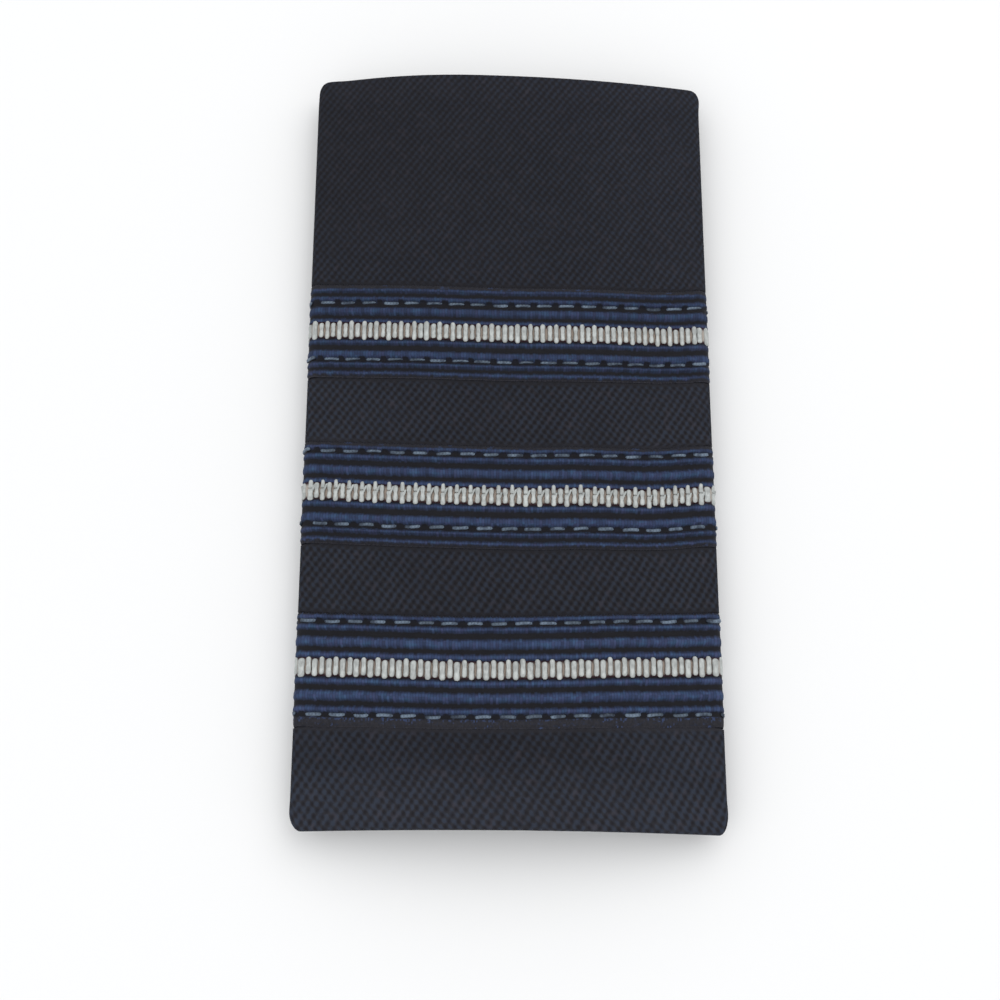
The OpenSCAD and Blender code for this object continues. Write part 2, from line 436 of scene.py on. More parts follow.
def make_mesh(
    name: str, points: np.ndarray, faces: np.ndarray, corners: np.ndarray, map_name: str
) -> bpy.types.Mesh:
    """Makes a smooth mesh with a map.

    Args:
        name: The mesh's name.
        points: Its points in millimetres.
        faces: Its quads, as indices of points.
        corners: The map's place of each corner of each quad.
        map_name: The map's name.

    Returns:
        The mesh, in metres.
    """
    mesh = bpy.data.meshes.new(name)
    mesh.from_pydata((points * MM).tolist(), [], faces.tolist())
    uv = mesh.uv_layers.new(name=map_name)
    uv.uv.foreach_set("vector", corners.reshape(-1).astype(np.float32))
    mesh.shade_smooth()
    mesh.validate()
    return mesh


def mark_points(mesh: bpy.types.Mesh, name: str, values: np.ndarray) -> None:
    """Gives each point of a mesh a number that its material reads."""
    mark = mesh.attributes.new(name, "FLOAT", "POINT")
    mark.data.foreach_set("value", values.astype(np.float32).ravel())


@contextmanager
def editing(mesh: bpy.types.Mesh) -> Iterator[bmesh.types.BMesh]:
    """Opens a mesh for editing, and writes it back."""
    bm = bmesh.new()
    bm.from_mesh(mesh)
    yield bm
    bm.to_mesh(mesh)
    bm.free()


def close_holes(mesh: bpy.types.Mesh) -> None:
    """Caps every open loop of a mesh."""
    with editing(mesh) as bm:
        open_edges = [e for e in bm.edges if e.is_boundary]
        if open_edges:
            bmesh.ops.holes_fill(bm, edges=open_edges, sides=0)


def outward(
    points: np.ndarray, faces: np.ndarray, corners: np.ndarray
) -> tuple[np.ndarray, np.ndarray]:
    """Turns a shell's quads over if they point inwards.

    Args:
        points: Its points.
        faces: Its quads.
        corners: The map's place of each corner of each quad.

    Returns:
        The quads and the corners.
    """
    a, b, c, d = (points[faces[:, k]] for k in range(4))
    volume = (np.cross(b - a, c - a) * a).sum() + (np.cross(c - a, d - a) * a).sum()
    return (faces, corners) if volume > 0 else (faces[:, ::-1], corners[:, ::-1])


def numbers_within(limit: float, first: float, pitch: float) -> np.ndarray:
    """Returns the whole numbers n whose places first + n * pitch lie within a limit on each side."""
    low = math.ceil((-limit - first) / pitch)
    return np.arange(low, math.floor((limit - first) / pitch) + 1)


def grid_faces(rows: int, columns: int, closed: bool = False) -> np.ndarray:
    """Lists the quads of a grid of points whose last column joins its first.

    Args:
        rows: Number of rows.
        columns: Number of columns.
        closed: True if the last row joins the first too.

    Returns:
        Four indices for each quad, row by row.
    """
    i = np.arange(rows if closed else rows - 1)[:, None]
    j = np.arange(columns)[None, :]
    up, over = (i + 1) % rows, (j + 1) % columns
    quads = [i * columns + j, i * columns + over, up * columns + over, up * columns + j]
    return np.stack(np.broadcast_arrays(*quads), axis=-1).reshape(-1, 4)


def grid_corners(along_rows: np.ndarray, along_columns: np.ndarray) -> np.ndarray:
    """Gives the map's place of each corner of each quad of a grid.

    Args:
        along_rows: The map's second value on each row line, one more than the rows of quads.
        along_columns: The map's first value on each column line.

    Returns:
        The places, in the order of grid_faces.
    """
    u, v = np.meshgrid(along_columns, along_rows)
    whole = np.stack([u, v], axis=-1)
    ring = [whole[:-1, :-1], whole[:-1, 1:], whole[1:, 1:], whole[1:, :-1]]
    return np.stack(ring, axis=2).reshape(-1, 4, 2)


def make_piece(name: str, mesh: bpy.types.Mesh, material: bpy.types.Material) -> bpy.types.Object:
    """Links a mesh as an object that wears one material.

    Args:
        name: The piece's name.
        mesh: Its mesh.
        material: What it wears.

    Returns:
        The object, at the origin.
    """
    mesh.materials.clear()
    mesh.materials.append(material)
    piece = bpy.data.objects.new(name, mesh)
    bpy.context.scene.collection.objects.link(piece)
    return piece


class Nodes:
    """A node tree, with the short calls that materials and geometry share."""

    tree: bpy.types.NodeTree

    def put(self, socket: bpy.types.NodeSocket, value: object) -> None:
        """Links a socket to an input, or sets the input's own value."""
        if isinstance(value, bpy.types.NodeSocket):
            self.tree.links.new(value, socket)
        else:
            socket.default_value = value

    def node(self, kind: str, *inputs: object, **settings: object) -> bpy.types.Node:
        """Adds a node.

        Args:
            kind: Its type.
            inputs: Values or sockets for its first inputs, in order.
            settings: Its own settings.

        Returns:
            The node.
        """
        made = self.tree.nodes.new(kind)
        for name, value in settings.items():
            setattr(made, name, value)
        for socket, value in zip(made.inputs, inputs):
            self.put(socket, value)
        return made

    def fill(self, made: bpy.types.Node, values: dict[str, object]) -> bpy.types.NodeSocket:
        """Puts values or sockets into a node's inputs by name, and returns its first output."""
        for name, value in values.items():
            self.put(made.inputs[name], value)
        return made.outputs[0]

    def math(self, operation: str, *values: object) -> bpy.types.NodeSocket:
        """Returns the result of a Math node."""
        return self.node("ShaderNodeMath", *values, operation=operation).outputs[0]


class Graph(Nodes):
    """A material's node tree, with calls for the nodes that the finishes share."""

    def __init__(self, name: str) -> None:
        """Starts a material of that name with a shader and its output."""
        self.material = bpy.data.materials.new(name)
        self.material.use_nodes = True
        self.tree = self.material.node_tree
        self.tree.nodes.clear()
        self.shader = self.node("ShaderNodeBsdfPrincipled")
        self.node("ShaderNodeOutputMaterial", self.shader.outputs["BSDF"])

    def times(self, *values: object) -> bpy.types.NodeSocket:
        """Returns the product of two or more values."""
        return reduce(lambda a, b: self.math("MULTIPLY", a, b), values)

    def line(self, value: object, slope: object, start: object) -> bpy.types.NodeSocket:
        """Returns a value times a slope, plus a start."""
        return self.math("MULTIPLY_ADD", value, slope, start)

    def swing(self, value: object, reach: float, middle: object) -> bpy.types.NodeSocket:
        """Moves a middle by up to half a reach to either side, as a value goes from 0 to 1."""
        return self.line(self.math("SUBTRACT", value, 0.5), reach, middle)

    def ramp(
        self, value: object, low: float, high: float, first: object = 0.0, last: object = 1.0
    ) -> bpy.types.NodeSocket:
        """Maps a value smoothly from one range to another.

        Args:
            value: What is mapped.
            low: Where the result starts to leave first.
            high: Where it reaches last.
            first: The result below low.
            last: The result above high.

        Returns:
            The mapped value.
        """
        made = self.node("ShaderNodeMapRange", interpolation_type="SMOOTHSTEP")
        keys = ("Value", "From Min", "From Max", "To Min", "To Max")
        return self.fill(made, dict(zip(keys, (value, low, high, first, last))))

    def mix(self, factor: object, a: object, b: object) -> bpy.types.NodeSocket:
        """Mixes two colours.

        Args:
            factor: Share of the second colour.
            a: The first colour.
            b: The second colour.

        Returns:
            The mixed colour.
        """
        made = self.node("ShaderNodeMix", data_type="RGBA", clamp_factor=True)
        self.put(made.inputs["Factor"], factor)
        for socket, value in zip([s for s in made.inputs if s.type == "RGBA"], (a, b)):
            self.put(socket, (*value, 1.0) if isinstance(value, tuple) else value)
        return next(s for s in made.outputs if s.type == "RGBA")

    def shade(self, colour: object, factor: object) -> bpy.types.NodeSocket:
        """Returns a colour times a number."""
        made = self.node("ShaderNodeVectorMath", colour, operation="SCALE")
        return self.fill(made, {"Scale": factor})

    def place(self, map_name: str) -> tuple[bpy.types.NodeSocket, ...]:
        """Returns a place on a piece's own map: the whole vector, its first value and its second."""
        uv = self.node("ShaderNodeUVMap", uv_map=map_name).outputs[0]
        parts = self.node("ShaderNodeSeparateXYZ", uv).outputs
        return uv, parts[0], parts[1]

    def mark(self, name: str) -> bpy.types.NodeSocket:
        """Reads a number that each point of a piece carries."""
        return self.node("ShaderNodeAttribute", attribute_name=name).outputs["Fac"]

    def vector(self, x: object, y: object, z: object = 0.0) -> bpy.types.NodeSocket:
        """Returns a vector of three values."""
        return self.node("ShaderNodeCombineXYZ", x, y, z).outputs[0]

    def noise(self, vector: object, scale: float, detail: float = 2.0) -> bpy.types.NodeSocket:
        """Returns a smooth noise, mostly from 0.2 to 0.8."""
        made = self.node("ShaderNodeTexNoise", noise_dimensions="3D")
        return self.fill(made, {"Vector": vector, "Scale": scale, "Detail": detail})

    def chance(self, vector: object) -> bpy.types.NodeSocket:
        """Returns an even random value for each whole place."""
        return self.node("ShaderNodeTexWhiteNoise", vector, noise_dimensions="3D").outputs[0]

    def bump(self, height: object, distance: float, strength: float) -> None:
        """Bends the shader's normal by a height from 0 to 1, where 1 is so many millimetres."""
        values = {"Strength": strength, "Distance": distance * MM, "Height": height}
        self.put(self.shader.inputs["Normal"], self.fill(self.node("ShaderNodeBump"), values))

    def finish(
        self, colour: object, roughness: object, sheen: float, tint: Colour, gloss: float
    ) -> bpy.types.Material:
        """Dresses the shader.

        Args:
            colour: The base colour.
            roughness: The base roughness.
            sheen: The weight of the fibres' sheen.
            tint: The sheen's colour.
            gloss: The specular level.

        Returns:
            The material.
        """
        self.put(self.shader.inputs["Base Color"], colour)
        self.put(self.shader.inputs["Roughness"], roughness)
        self.shader.inputs["Sheen Weight"].default_value = sheen
        self.shader.inputs["Sheen Roughness"].default_value = 0.4
        self.shader.inputs["Sheen Tint"].default_value = (*tint, 1.0)
        self.shader.inputs["Specular IOR Level"].default_value = gloss
        return self.material


@dataclass(frozen=True)
class WovenCloth:
    """Dark navy cloth with steep wales, cross links and pits between them.

    Args:
        wale: Wales crossed in one millimetre across and along, at the shoulder end.
        link: Cross links crossed in one millimetre across and along, at the shoulder end.
        wale_turn: How much closer the wales get in each millimetre along.
        link_turn: How much closer the links get.
        spread: Closeness of the threads across at the shoulder end, and its growth along.
        pit_shade: Colour down in the pits, darker than the threads: painted shade.
        thread: Colour of the threads.
        bright: Colour of the threads that catch the light: a painted highlight.
        grey: Colour of the few threads that lean to grey.
        pressed: Colour of the cloth that is pressed smooth along the braids' edges, with painted
            shade.
        even: Height, from 0 to 1, that stays as it is where the weave is faint.
        knot_highlight: How much more painted highlight a thread gets where a wale and a link cross.
        relief: Depth of the pits in millimetres.
        length: Length of the sleeve, past which the threads get no closer.
    """

    wale: tuple[float, float] = (0.919, 0.514)
    link: tuple[float, float] = (0.98, 0.911)
    wale_turn: float = 0.00137
    link_turn: float = 0.00103
    spread: tuple[float, float] = (0.93, 0.0021)
    pit_shade: Colour = (0.0115, 0.0105, 0.0125)
    thread: Colour = (0.0205, 0.0208, 0.0255)
    bright: Colour = (0.0246, 0.0298, 0.0432)
    grey: Colour = (0.0340, 0.0325, 0.0415)
    pressed: Colour = (0.0186, 0.0182, 0.0218)
    even: float = 0.62
    knot_highlight: float = 0.30
    relief: float = 0.12
    length: float = 99.0

    def material(self) -> bpy.types.Material:
        """Builds the material on the map named cloth, whose values are millimetres.

        Returns:
            The material.
        """
        g = Graph("navy_cloth")
        uv, u, v = g.place("cloth")
        moved = g.line(g.noise(uv, 0.22), 0.6, g.times(g.noise(uv, 1.3, 1.0), 0.10))
        m = g.math("MINIMUM", g.math("MAXIMUM", v, 0.0), self.length)
        square = g.times(m, g.math("SUBTRACT", g.times(v, 2.0), m))
        across = g.line(u, g.line(m, self.spread[1], self.spread[0]), moved)
        p = g.line(v, -self.wale[1], g.times(square, -self.wale_turn))
        p = g.line(across, self.wale[0], p)
        q = g.line(v, self.link[1], g.times(square, self.link_turn))
        q = g.line(across, self.link[0], q)
        wales, links = self.between(g, p), self.between(g, q)
        cross = g.times(links, g.ramp(v, 40.0, 99.0, 0.76, 0.44))
        hole = g.times(g.math("SUBTRACT", 1.0, wales), g.math("SUBTRACT", 1.0, cross))
        height = g.math("SUBTRACT", 1.0, g.math("POWER", hole, 0.9))
        beside = g.mark("beside")
        soft = g.times(
            g.ramp(g.noise(uv, 0.16, 3.0), 0.3, 0.6, 0.74, 1.0),
            g.ramp(beside, 0.1, 0.9, 1.0, 0.7),
            g.ramp(v, 50.0, 80.0, 1.0, 0.66),
            g.ramp(v, 8.0, 24.0, 0.88, 1.0),
        )
        # Low places of the weave take the dark of the pits: painted shade.
        seen = g.line(g.math("SUBTRACT", height, self.even), soft, self.even)
        fibre = g.noise(g.vector(g.times(p, 1.3), g.times(q, 1.3)), 1.1)
        tint = g.noise(g.vector(p, g.times(q, 0.7), 5.0), 0.8, 1.0)
        # Painted highlight on the threads that catch the light: strongest where wales and links
        # cross and at the sides near the shoulder end, weaker at the far left.
        highlight_share = g.line(g.times(wales, links), self.knot_highlight, fibre)
        sides = g.ramp(g.math("ABSOLUTE", u), 4.0, 22.0)
        highlight_share = g.line(sides, g.ramp(v, 8.0, 20.0, 0.05, 0.0), highlight_share)
        highlight_cap = g.ramp(v, 60.0, 90.0, 1.0, g.ramp(u, -20.0, 16.0, 0.66, 1.0))
        hue = g.mix(g.ramp(highlight_share, 0.45, 0.74, 0.0, highlight_cap), self.thread, self.bright)
        hue = g.mix(g.ramp(tint, 0.55, 0.75, 0.0, 0.7), hue, self.grey)
        # Painted light and shade in the pressed bands: lighter by the lower braid's shoulder edge,
        # darker by its plain edge and by the upper braid's plain edge.
        braid_light_and_shade = g.times(
            g.ramp(v, 12.0, 25.0, 1.32, 0.9),
            g.ramp(v, 26.0, 34.0, 1.0, 1.15),
            g.ramp(v, 57.0, 68.0, 1.0, 0.9),
        )
        colour = g.mix(g.ramp(beside, 0.05, 0.8, 0.0, 0.75), g.mix(seen, self.pit_shade, hue),
                       g.shade(self.pressed, braid_light_and_shade))
        g.bump(g.line(fibre, 0.2, height), self.relief, 0.6)
        return g.finish(g.shade(colour, self.painted_light_and_tone(g, uv, u, v)),
                        g.ramp(fibre, 0.3, 0.7, 0.78, 0.92), 0.02, (0.55, 0.66, 0.85), 0.05)

    @staticmethod
    def painted_light_and_tone(
        g: Graph, uv: bpy.types.NodeSocket, u: bpy.types.NodeSocket, v: bpy.types.NodeSocket
    ) -> bpy.types.NodeSocket:
        """Gives how light the cloth is painted: painted light makes it lighter toward the shoulder
        end and the sides, with a painted highlight on the far end's rolled edge and some random
        tone.

        Args:
            g: The material's nodes.
            uv: Place on the cloth.
            u: Place round the sleeve.
            v: Place along it.

        Returns:
            The factor of its colour.
        """
        # Painted light: lighter toward the shoulder end and the sides.
        left = g.ramp(u, -24.0, -6.0, g.ramp(v, 55.0, 85.0, 1.11, 0.98), 1.0)
        right = g.ramp(u, 2.0, 24.0, 1.0, g.ramp(v, 8.0, 24.0, 1.30, 1.13))
        near = g.ramp(v, 3.0, 10.5, g.ramp(v, -6.0, 0.0, 1.0, 1.42), 1.0)
        return g.times(
            g.math("MAXIMUM", g.times(left, right), near),
            # Painted highlight on the far end's rolled edge.
            g.ramp(v, 94.0, 98.5, 1.0, g.ramp(v, 99.0, 104.0, 1.12, 1.0)),
            g.ramp(v, 58.0, 70.0, 1.0, 0.965),
            g.ramp(v, 12.0, 24.0, 0.95, 1.0),
            g.ramp(g.noise(uv, 0.05), 0.3, 0.7, 0.98, 1.03),
            g.ramp(g.noise(uv, 0.30), 0.3, 0.7, 0.955, 1.045),
        )

    @staticmethod
    def between(g: Graph, place: bpy.types.NodeSocket) -> bpy.types.NodeSocket:
        """Returns 0 where a place is whole and 1 halfway between."""
        return g.line(g.math("COSINE", g.times(place, 2 * math.pi)), -0.5, 0.5)


@dataclass(frozen=True)
class Cord:
    """One cord of a braid.

    Args:
        centre: Distance of its middle from the braid's centre line, positive to the plain end.
        half: Half its width.
        top: Height of its crown above the cloth.
        blue: How much of the blue thread shows on it, from 0 to 1.
    """

    centre: float
    half: float
    top: float
    blue: float


@dataclass(frozen=True)
class BraidRelief:
    """The cords of a braid, from its shoulder side to its plain side.

    Args:
        edges: Its two edges, as distances from the centre line.
        shift: How far the silver centre lies to the plain side of the centre line.
        table: For each cord, its middle, half width, height and amount of blue.
        bare: Places beyond which its two edges have no blue thread and look like the cloth.
        painted_rim_light: How much lighter the last thread of the shoulder edge is painted than the
            rest of it: painted light against the shade on its slope.
        frayed: How much the blue of single threads strays over a bare edge, from 0 to about 0.4.
        thinned: How much of its height the shoulder edge loses, as a share.
        thinning: Width over which it loses that.
        valley: Height of the grooves above the cloth.
        channel_half: Half the width of the ground under the silver centre.
        row_step: Greatest distance between lines of points.
        row_least: Distance below which two of them become one.
    """

    edges: tuple[float, float]
    shift: float
    table: Table
    bare: tuple[float, float]
    painted_rim_light: float
    frayed: float = 0.0
    thinned: float = 0.0
    thinning: float = 0.9
    valley: float = 0.28
    channel_half: float = 1.12
    row_step: float = 0.27
    row_least: float = 0.04

    @cached_property
    def cords(self) -> tuple[Cord, ...]:
        """Returns the cords."""
        return tuple(Cord(*row) for row in self.table)

    def height(self, w: np.ndarray) -> np.ndarray:
        """Returns the height above the cloth at a distance from the centre line."""
        made = np.full_like(w, self.valley)
        for cord in self.cords:
            inside = np.clip(1 - ((w - cord.centre) / cord.half) ** 2, 0, 1)
            made = np.maximum(made, self.valley + (cord.top - self.valley) * np.sqrt(inside))
        return made * (1 - self.thinned * np.clip(1 - (w - self.edges[0]) / self.thinning, 0, 1))

    def rows(self) -> np.ndarray:
        """Returns the distances of the lines of points, closer on the cords than between them."""
        across = np.array([-1.0, -0.93, -0.66, -0.25, 0.25, 0.66, 0.93, 1.0])
        marks = [cord.centre + cord.half * across for cord in self.cords]
        channel = self.shift + np.array([-1.0, 1.0]) * self.channel_half
        marks = np.concatenate([*marks, self.edges, channel])
        marks = np.unique(np.clip(marks, *self.edges))
        made = [marks[:1]]
        for low, high in zip(marks[:-1], marks[1:]):
            if high - low > self.row_least:
                count = math.ceil((high - low) / self.row_step) + 1
                made.append(np.linspace(low, high, count)[1:])
        return np.concatenate(made)

    def mask_points(self, half: float, soft: float) -> list[tuple[float, float]]:
        """Lists where the blue thread begins and ends.

        Args:
            half: The distance that stands for 0 and 1 on either side.
            soft: Half the distance over which it begins or ends.

        Returns:
            Place from 0 to 1 and amount of blue, in rising order.
        """
        made = []
        for cord in self.cords:
            low, high = cord.centre - cord.half, cord.centre + cord.half
            made += [(low - soft, 0.0), (low + soft, cord.blue)]
            made += [(high - soft, cord.blue), (high + soft, 0.0)]
        return [((w + half) / (2 * half), b) for w, b in made]


@dataclass(frozen=True)
class RibbedBraid:
    """Navy braid: fine threads cross its cords, which stand out blue between near-black grooves.

    Args:
        groove: Colour down in the grooves.
        blue: The blue threads.
        violet: Threads that lean to violet.
        teal: Threads that lean to green.
        ground: Colour of the ground under the silver ribs.
        maroon: Dark reddish colour at the ribs' ends, where the ground meets the cords.
        selvedge: Colour of a bare edge.
        lighter: How the ground looks in the side folds, where the ribs stand apart.
        fade: Half the distance over which a bare edge begins.
        rim_width: Width of the last thread of an edge.
        thread: Pitch of the crossing threads in millimetres.
        relief: Height of those threads.
        reach: Distance from the centre line that the cords' chart covers on either side.
    """

    groove: Colour = (0.0128, 0.0126, 0.0155)
    blue: Colour = (0.036, 0.054, 0.118)
    violet: Colour = (0.056, 0.056, 0.122)
    teal: Colour = (0.030, 0.068, 0.124)
    ground: Colour = (0.33, 0.275, 0.235)
    maroon: Colour = (0.030, 0.013, 0.018)
    selvedge: Colour = (0.0236, 0.0232, 0.0284)
    lighter: Colour = (0.44, 0.43, 0.41)
    fade: float = 0.12
    rim_width: float = 0.14
    thread: float = 0.35
    relief: float = 0.04
    reach: float = 7.0

    def material(
        self, name: str, relief: BraidRelief, painted_light: float, fold: float
    ) -> bpy.types.Material:
        """Builds the material on the map named braid and the attribute named sunk.

        Args:
            name: The material's name.
            relief: The braid's cords.
            painted_light: How much painted light its blue thread gets, as a share of the finish's
                own; braids nearer the shoulder end get more.
            fold: Girth of the side folds.

        Returns:
            The material.
        """
        g = Graph(name)
        uv, u, w = g.place("braid")
        lane = g.math("ADD", g.math("DIVIDE", u, self.thread), g.times(g.noise(uv, 0.9, 1.0), 0.5))
        each, row = g.math("FLOOR", lane), g.math("FLOOR", g.times(w, 0.9))
        crown = g.math("ABSOLUTE", g.math("SINE", g.times(lane, math.pi)))
        luck, thin, other = (g.chance(g.vector(each, row, k)) for k in (1.0, 4.0, 7.0))
        ragged = g.swing(g.noise(uv, 2.3), 0.26, g.swing(luck, 0.14, w))
        curve = g.node("ShaderNodeFloatCurve", 1.0, g.line(ragged, 0.5 / self.reach, 0.5))
        self.draw(curve.mapping, relief.mask_points(self.reach, 0.19))
        # Less blue shows between the crossing threads: painted shade in the gaps between them.
        blue = g.times(curve.outputs[0], g.ramp(thin, 0.0, 0.45, 0.72, 1.0),
                       g.ramp(crown, 0.0, 0.75, 0.68, 1.0))
        patch = g.noise(g.vector(g.times(u, 0.8), g.times(w, 1.7)), 0.9, 3.0)
        hue = g.mix(g.ramp(luck, 0.5, 0.95, 0.0, 0.35), self.blue, self.violet)
        hue = g.mix(g.ramp(patch, 0.45, 0.72, 0.0, 0.6), hue, self.teal)
        # Random tone from thread to thread and patch to patch, times the braid's painted light.
        light = g.times(g.ramp(other, 0.0, 1.0, 0.84 * painted_light, 1.14 * painted_light),
                        g.ramp(patch, 0.25, 0.75, 0.82, 1.18))
        colour = g.mix(blue, self.groove, g.shade(hue, light))
        away = g.math("ABSOLUTE", g.math("SUBTRACT", w, relief.shift))
        beside = g.ramp(g.math("ABSOLUTE", u), fold - 1.6, fold - 0.4)
        under = g.mix(beside, self.ground, self.lighter)
        bed = g.mix(g.ramp(away, 0.55, 1.0), under, self.maroon)
        colour = g.mix(g.ramp(away, 1.02, 1.14, 1.0, 0.0), colour, bed)
        low, high = relief.bare
        bare = g.math("MAXIMUM", g.ramp(ragged, low - self.fade, low + self.fade, 1.0, 0.0),
                      g.ramp(ragged, high - self.fade, high + self.fade))
        fuzz = g.noise(g.vector(u, g.times(w, 1.5), 3.0), 2.6, 3.0)
        strand = g.math("FLOOR", g.times(lane, 2.0))
        tick = g.chance(g.vector(strand, g.math("FLOOR", g.times(w, 3.5)), 9.0))
        near = g.ramp(w, 0.0, 1.0, 0.22 * relief.frayed, 0.0)
        dyed = g.math("ADD", g.swing(tick, relief.frayed, patch),
                      g.ramp(w, low - 0.6, low, -0.14, near))
        fringe = g.mix(g.ramp(dyed, 0.56, 0.72, 0.0, 0.8), self.selvedge, self.blue)
        first = relief.edges[0]
        # Painted light on the last thread of the shoulder edge, times random tone from thread to
        # thread.
        edge_light_and_tone = g.times(g.ramp(w, first, first + self.rim_width, relief.painted_rim_light, 1.0),
                        g.ramp(tick, 0.0, 1.0, 0.88, 1.12))
        shown = g.times(bare, g.ramp(fuzz, 0.30, 0.48, 0.35, 1.0))
        colour = g.mix(shown, colour, g.shade(fringe, edge_light_and_tone))
        # Painted shade in the stitch holes and along the dent between them.
        pit_shade = g.swing(g.noise(uv, 3.1), 0.5, g.mark("sunk"))
        colour = g.mix(g.ramp(pit_shade, 0.25, 0.75, 0.0, 0.9), colour, self.groove)
        height = g.times(crown, g.ramp(blue, 0.0, 1.0, 0.35, 1.0),
                         g.ramp(other, 0.0, 1.0, 0.7, 1.0))
        g.bump(height, self.relief, 0.8)
        return g.finish(colour, g.ramp(patch, 0.3, 0.7, 0.6, 0.8), 0.02, (0.5, 0.6, 0.9), 0.08)

    @staticmethod
    def draw(mapping: bpy.types.CurveMapping, spots: list[tuple[float, float]]) -> None:
        """Draws a curve through some points.

        Args:
            mapping: The node's curve.
            spots: Place and value, in rising order.
        """
        points = mapping.curves[0].points
        while len(points) > 2:
            points.remove(points[1])
        points[0].location, points[1].location = spots[0], spots[-1]
        for spot in spots[1:-1]:
            points.new(*spot)
        for point in points:
            point.handle_type = "VECTOR"
        mapping.update()


@dataclass(frozen=True)
class SilverThread:
    """Silver-white thread that is bundled into upright ribs.

    Args:
        light: Colour on top of a bundle: the silver thread in full light.
        side: Darker, warm colour down its sides: painted shade.
        twist: How fine the strands are, in strands across a bundle.
        relief: Height of the strands in millimetres.
        fold_from: Distance from the middle in metres where the ribs begin to turn on their side.
        fold_to: Distance where they are turned, so that their sides face the light and keep less of
            the painted shade.
        metallic: How much the thread shines like metal.
    """

    light: Colour = (0.462, 0.485, 0.475)
    side: Colour = (0.23, 0.19, 0.162)
    twist: float = 5.0
    relief: float = 0.04
    fold_from: float = 0.0238
    fold_to: float = 0.0251
    metallic: float = 0.12

    def material(self) -> bpy.types.Material:
        """Builds the material on the map named thread: down the side from 0 to 1, and along.

        Returns:
            The material.
        """
        g = Graph("silver_thread")
        _, down, along = g.place("thread")
        spot = g.node("ShaderNodeTexCoord").outputs["Object"]
        blot = g.noise(spot, 1400.0)
        strand = g.noise(g.vector(g.times(down, self.twist), g.times(along, 1.2)), 1.6)
        across = g.node("ShaderNodeSeparateXYZ", spot).outputs[0]
        # Painted shade down the sides of each bundle, less where the ribs turn in the side folds.
        turned = g.ramp(g.math("ABSOLUTE", across), self.fold_from, self.fold_to, 0.0, 0.5)
        edge = g.math("SUBTRACT", g.swing(blot, 0.5, down), turned)
        colour = g.mix(g.ramp(edge, 0.40, 0.95), self.light, self.side)
        light = g.times(g.ramp(blot, 0.25, 0.75, 0.74, 1.12), g.ramp(strand, 0.3, 0.7, 0.78, 1.11))
        g.shader.inputs["Metallic"].default_value = self.metallic
        g.bump(strand, self.relief, 0.7)
        return g.finish(g.shade(colour, light), g.ramp(blot, 0.3, 0.7, 0.36, 0.56),
                        0.0, (1.0, 1.0, 1.0), 0.35)


@dataclass(frozen=True)
class SewingThread:
    """Grey-blue sewing thread with a painted glint along the top of each stitch.

    Args:
        body: Colour of the thread.
        glint: Colour of the painted highlight along the top of a stitch.
    """

    body: Colour = (0.050, 0.066, 0.096)
    glint: Colour = (0.123, 0.162, 0.215)

    def material(self) -> bpy.types.Material:
        """Builds the material on the map named thread.

        Returns:
            The material.
        """
        g = Graph("sewing_thread")
        _, down, along = g.place("thread")
        spot = g.node("ShaderNodeTexCoord").outputs["Object"]
        lay = g.math("ADD", g.times(along, 5.0), g.times(down, 1.3))
        ply = g.math("ABSOLUTE", g.math("SINE", g.times(lay, math.pi)))
        # Painted highlight along the top of each stitch, broken up by noise.
        painted_light = g.times(g.ramp(down, 1.05, 0.35), g.ramp(g.noise(spot, 900.0), 0.33, 0.55))
        colour = g.mix(painted_light, self.body, self.glint)
        # Brightness differs at random from stitch to stitch.
        patchy = g.ramp(g.noise(spot, 420.0, 1.0), 0.32, 0.62, 0.58, 1.12)
        # Darker between the plies: painted shade.
        light = g.times(patchy, g.ramp(ply, 0.0, 0.8, 0.7, 1.1))
        g.bump(ply, 0.03, 0.8)
        return g.finish(g.shade(colour, light), 0.5, 0.05, (0.7, 0.8, 1.0), 0.2)


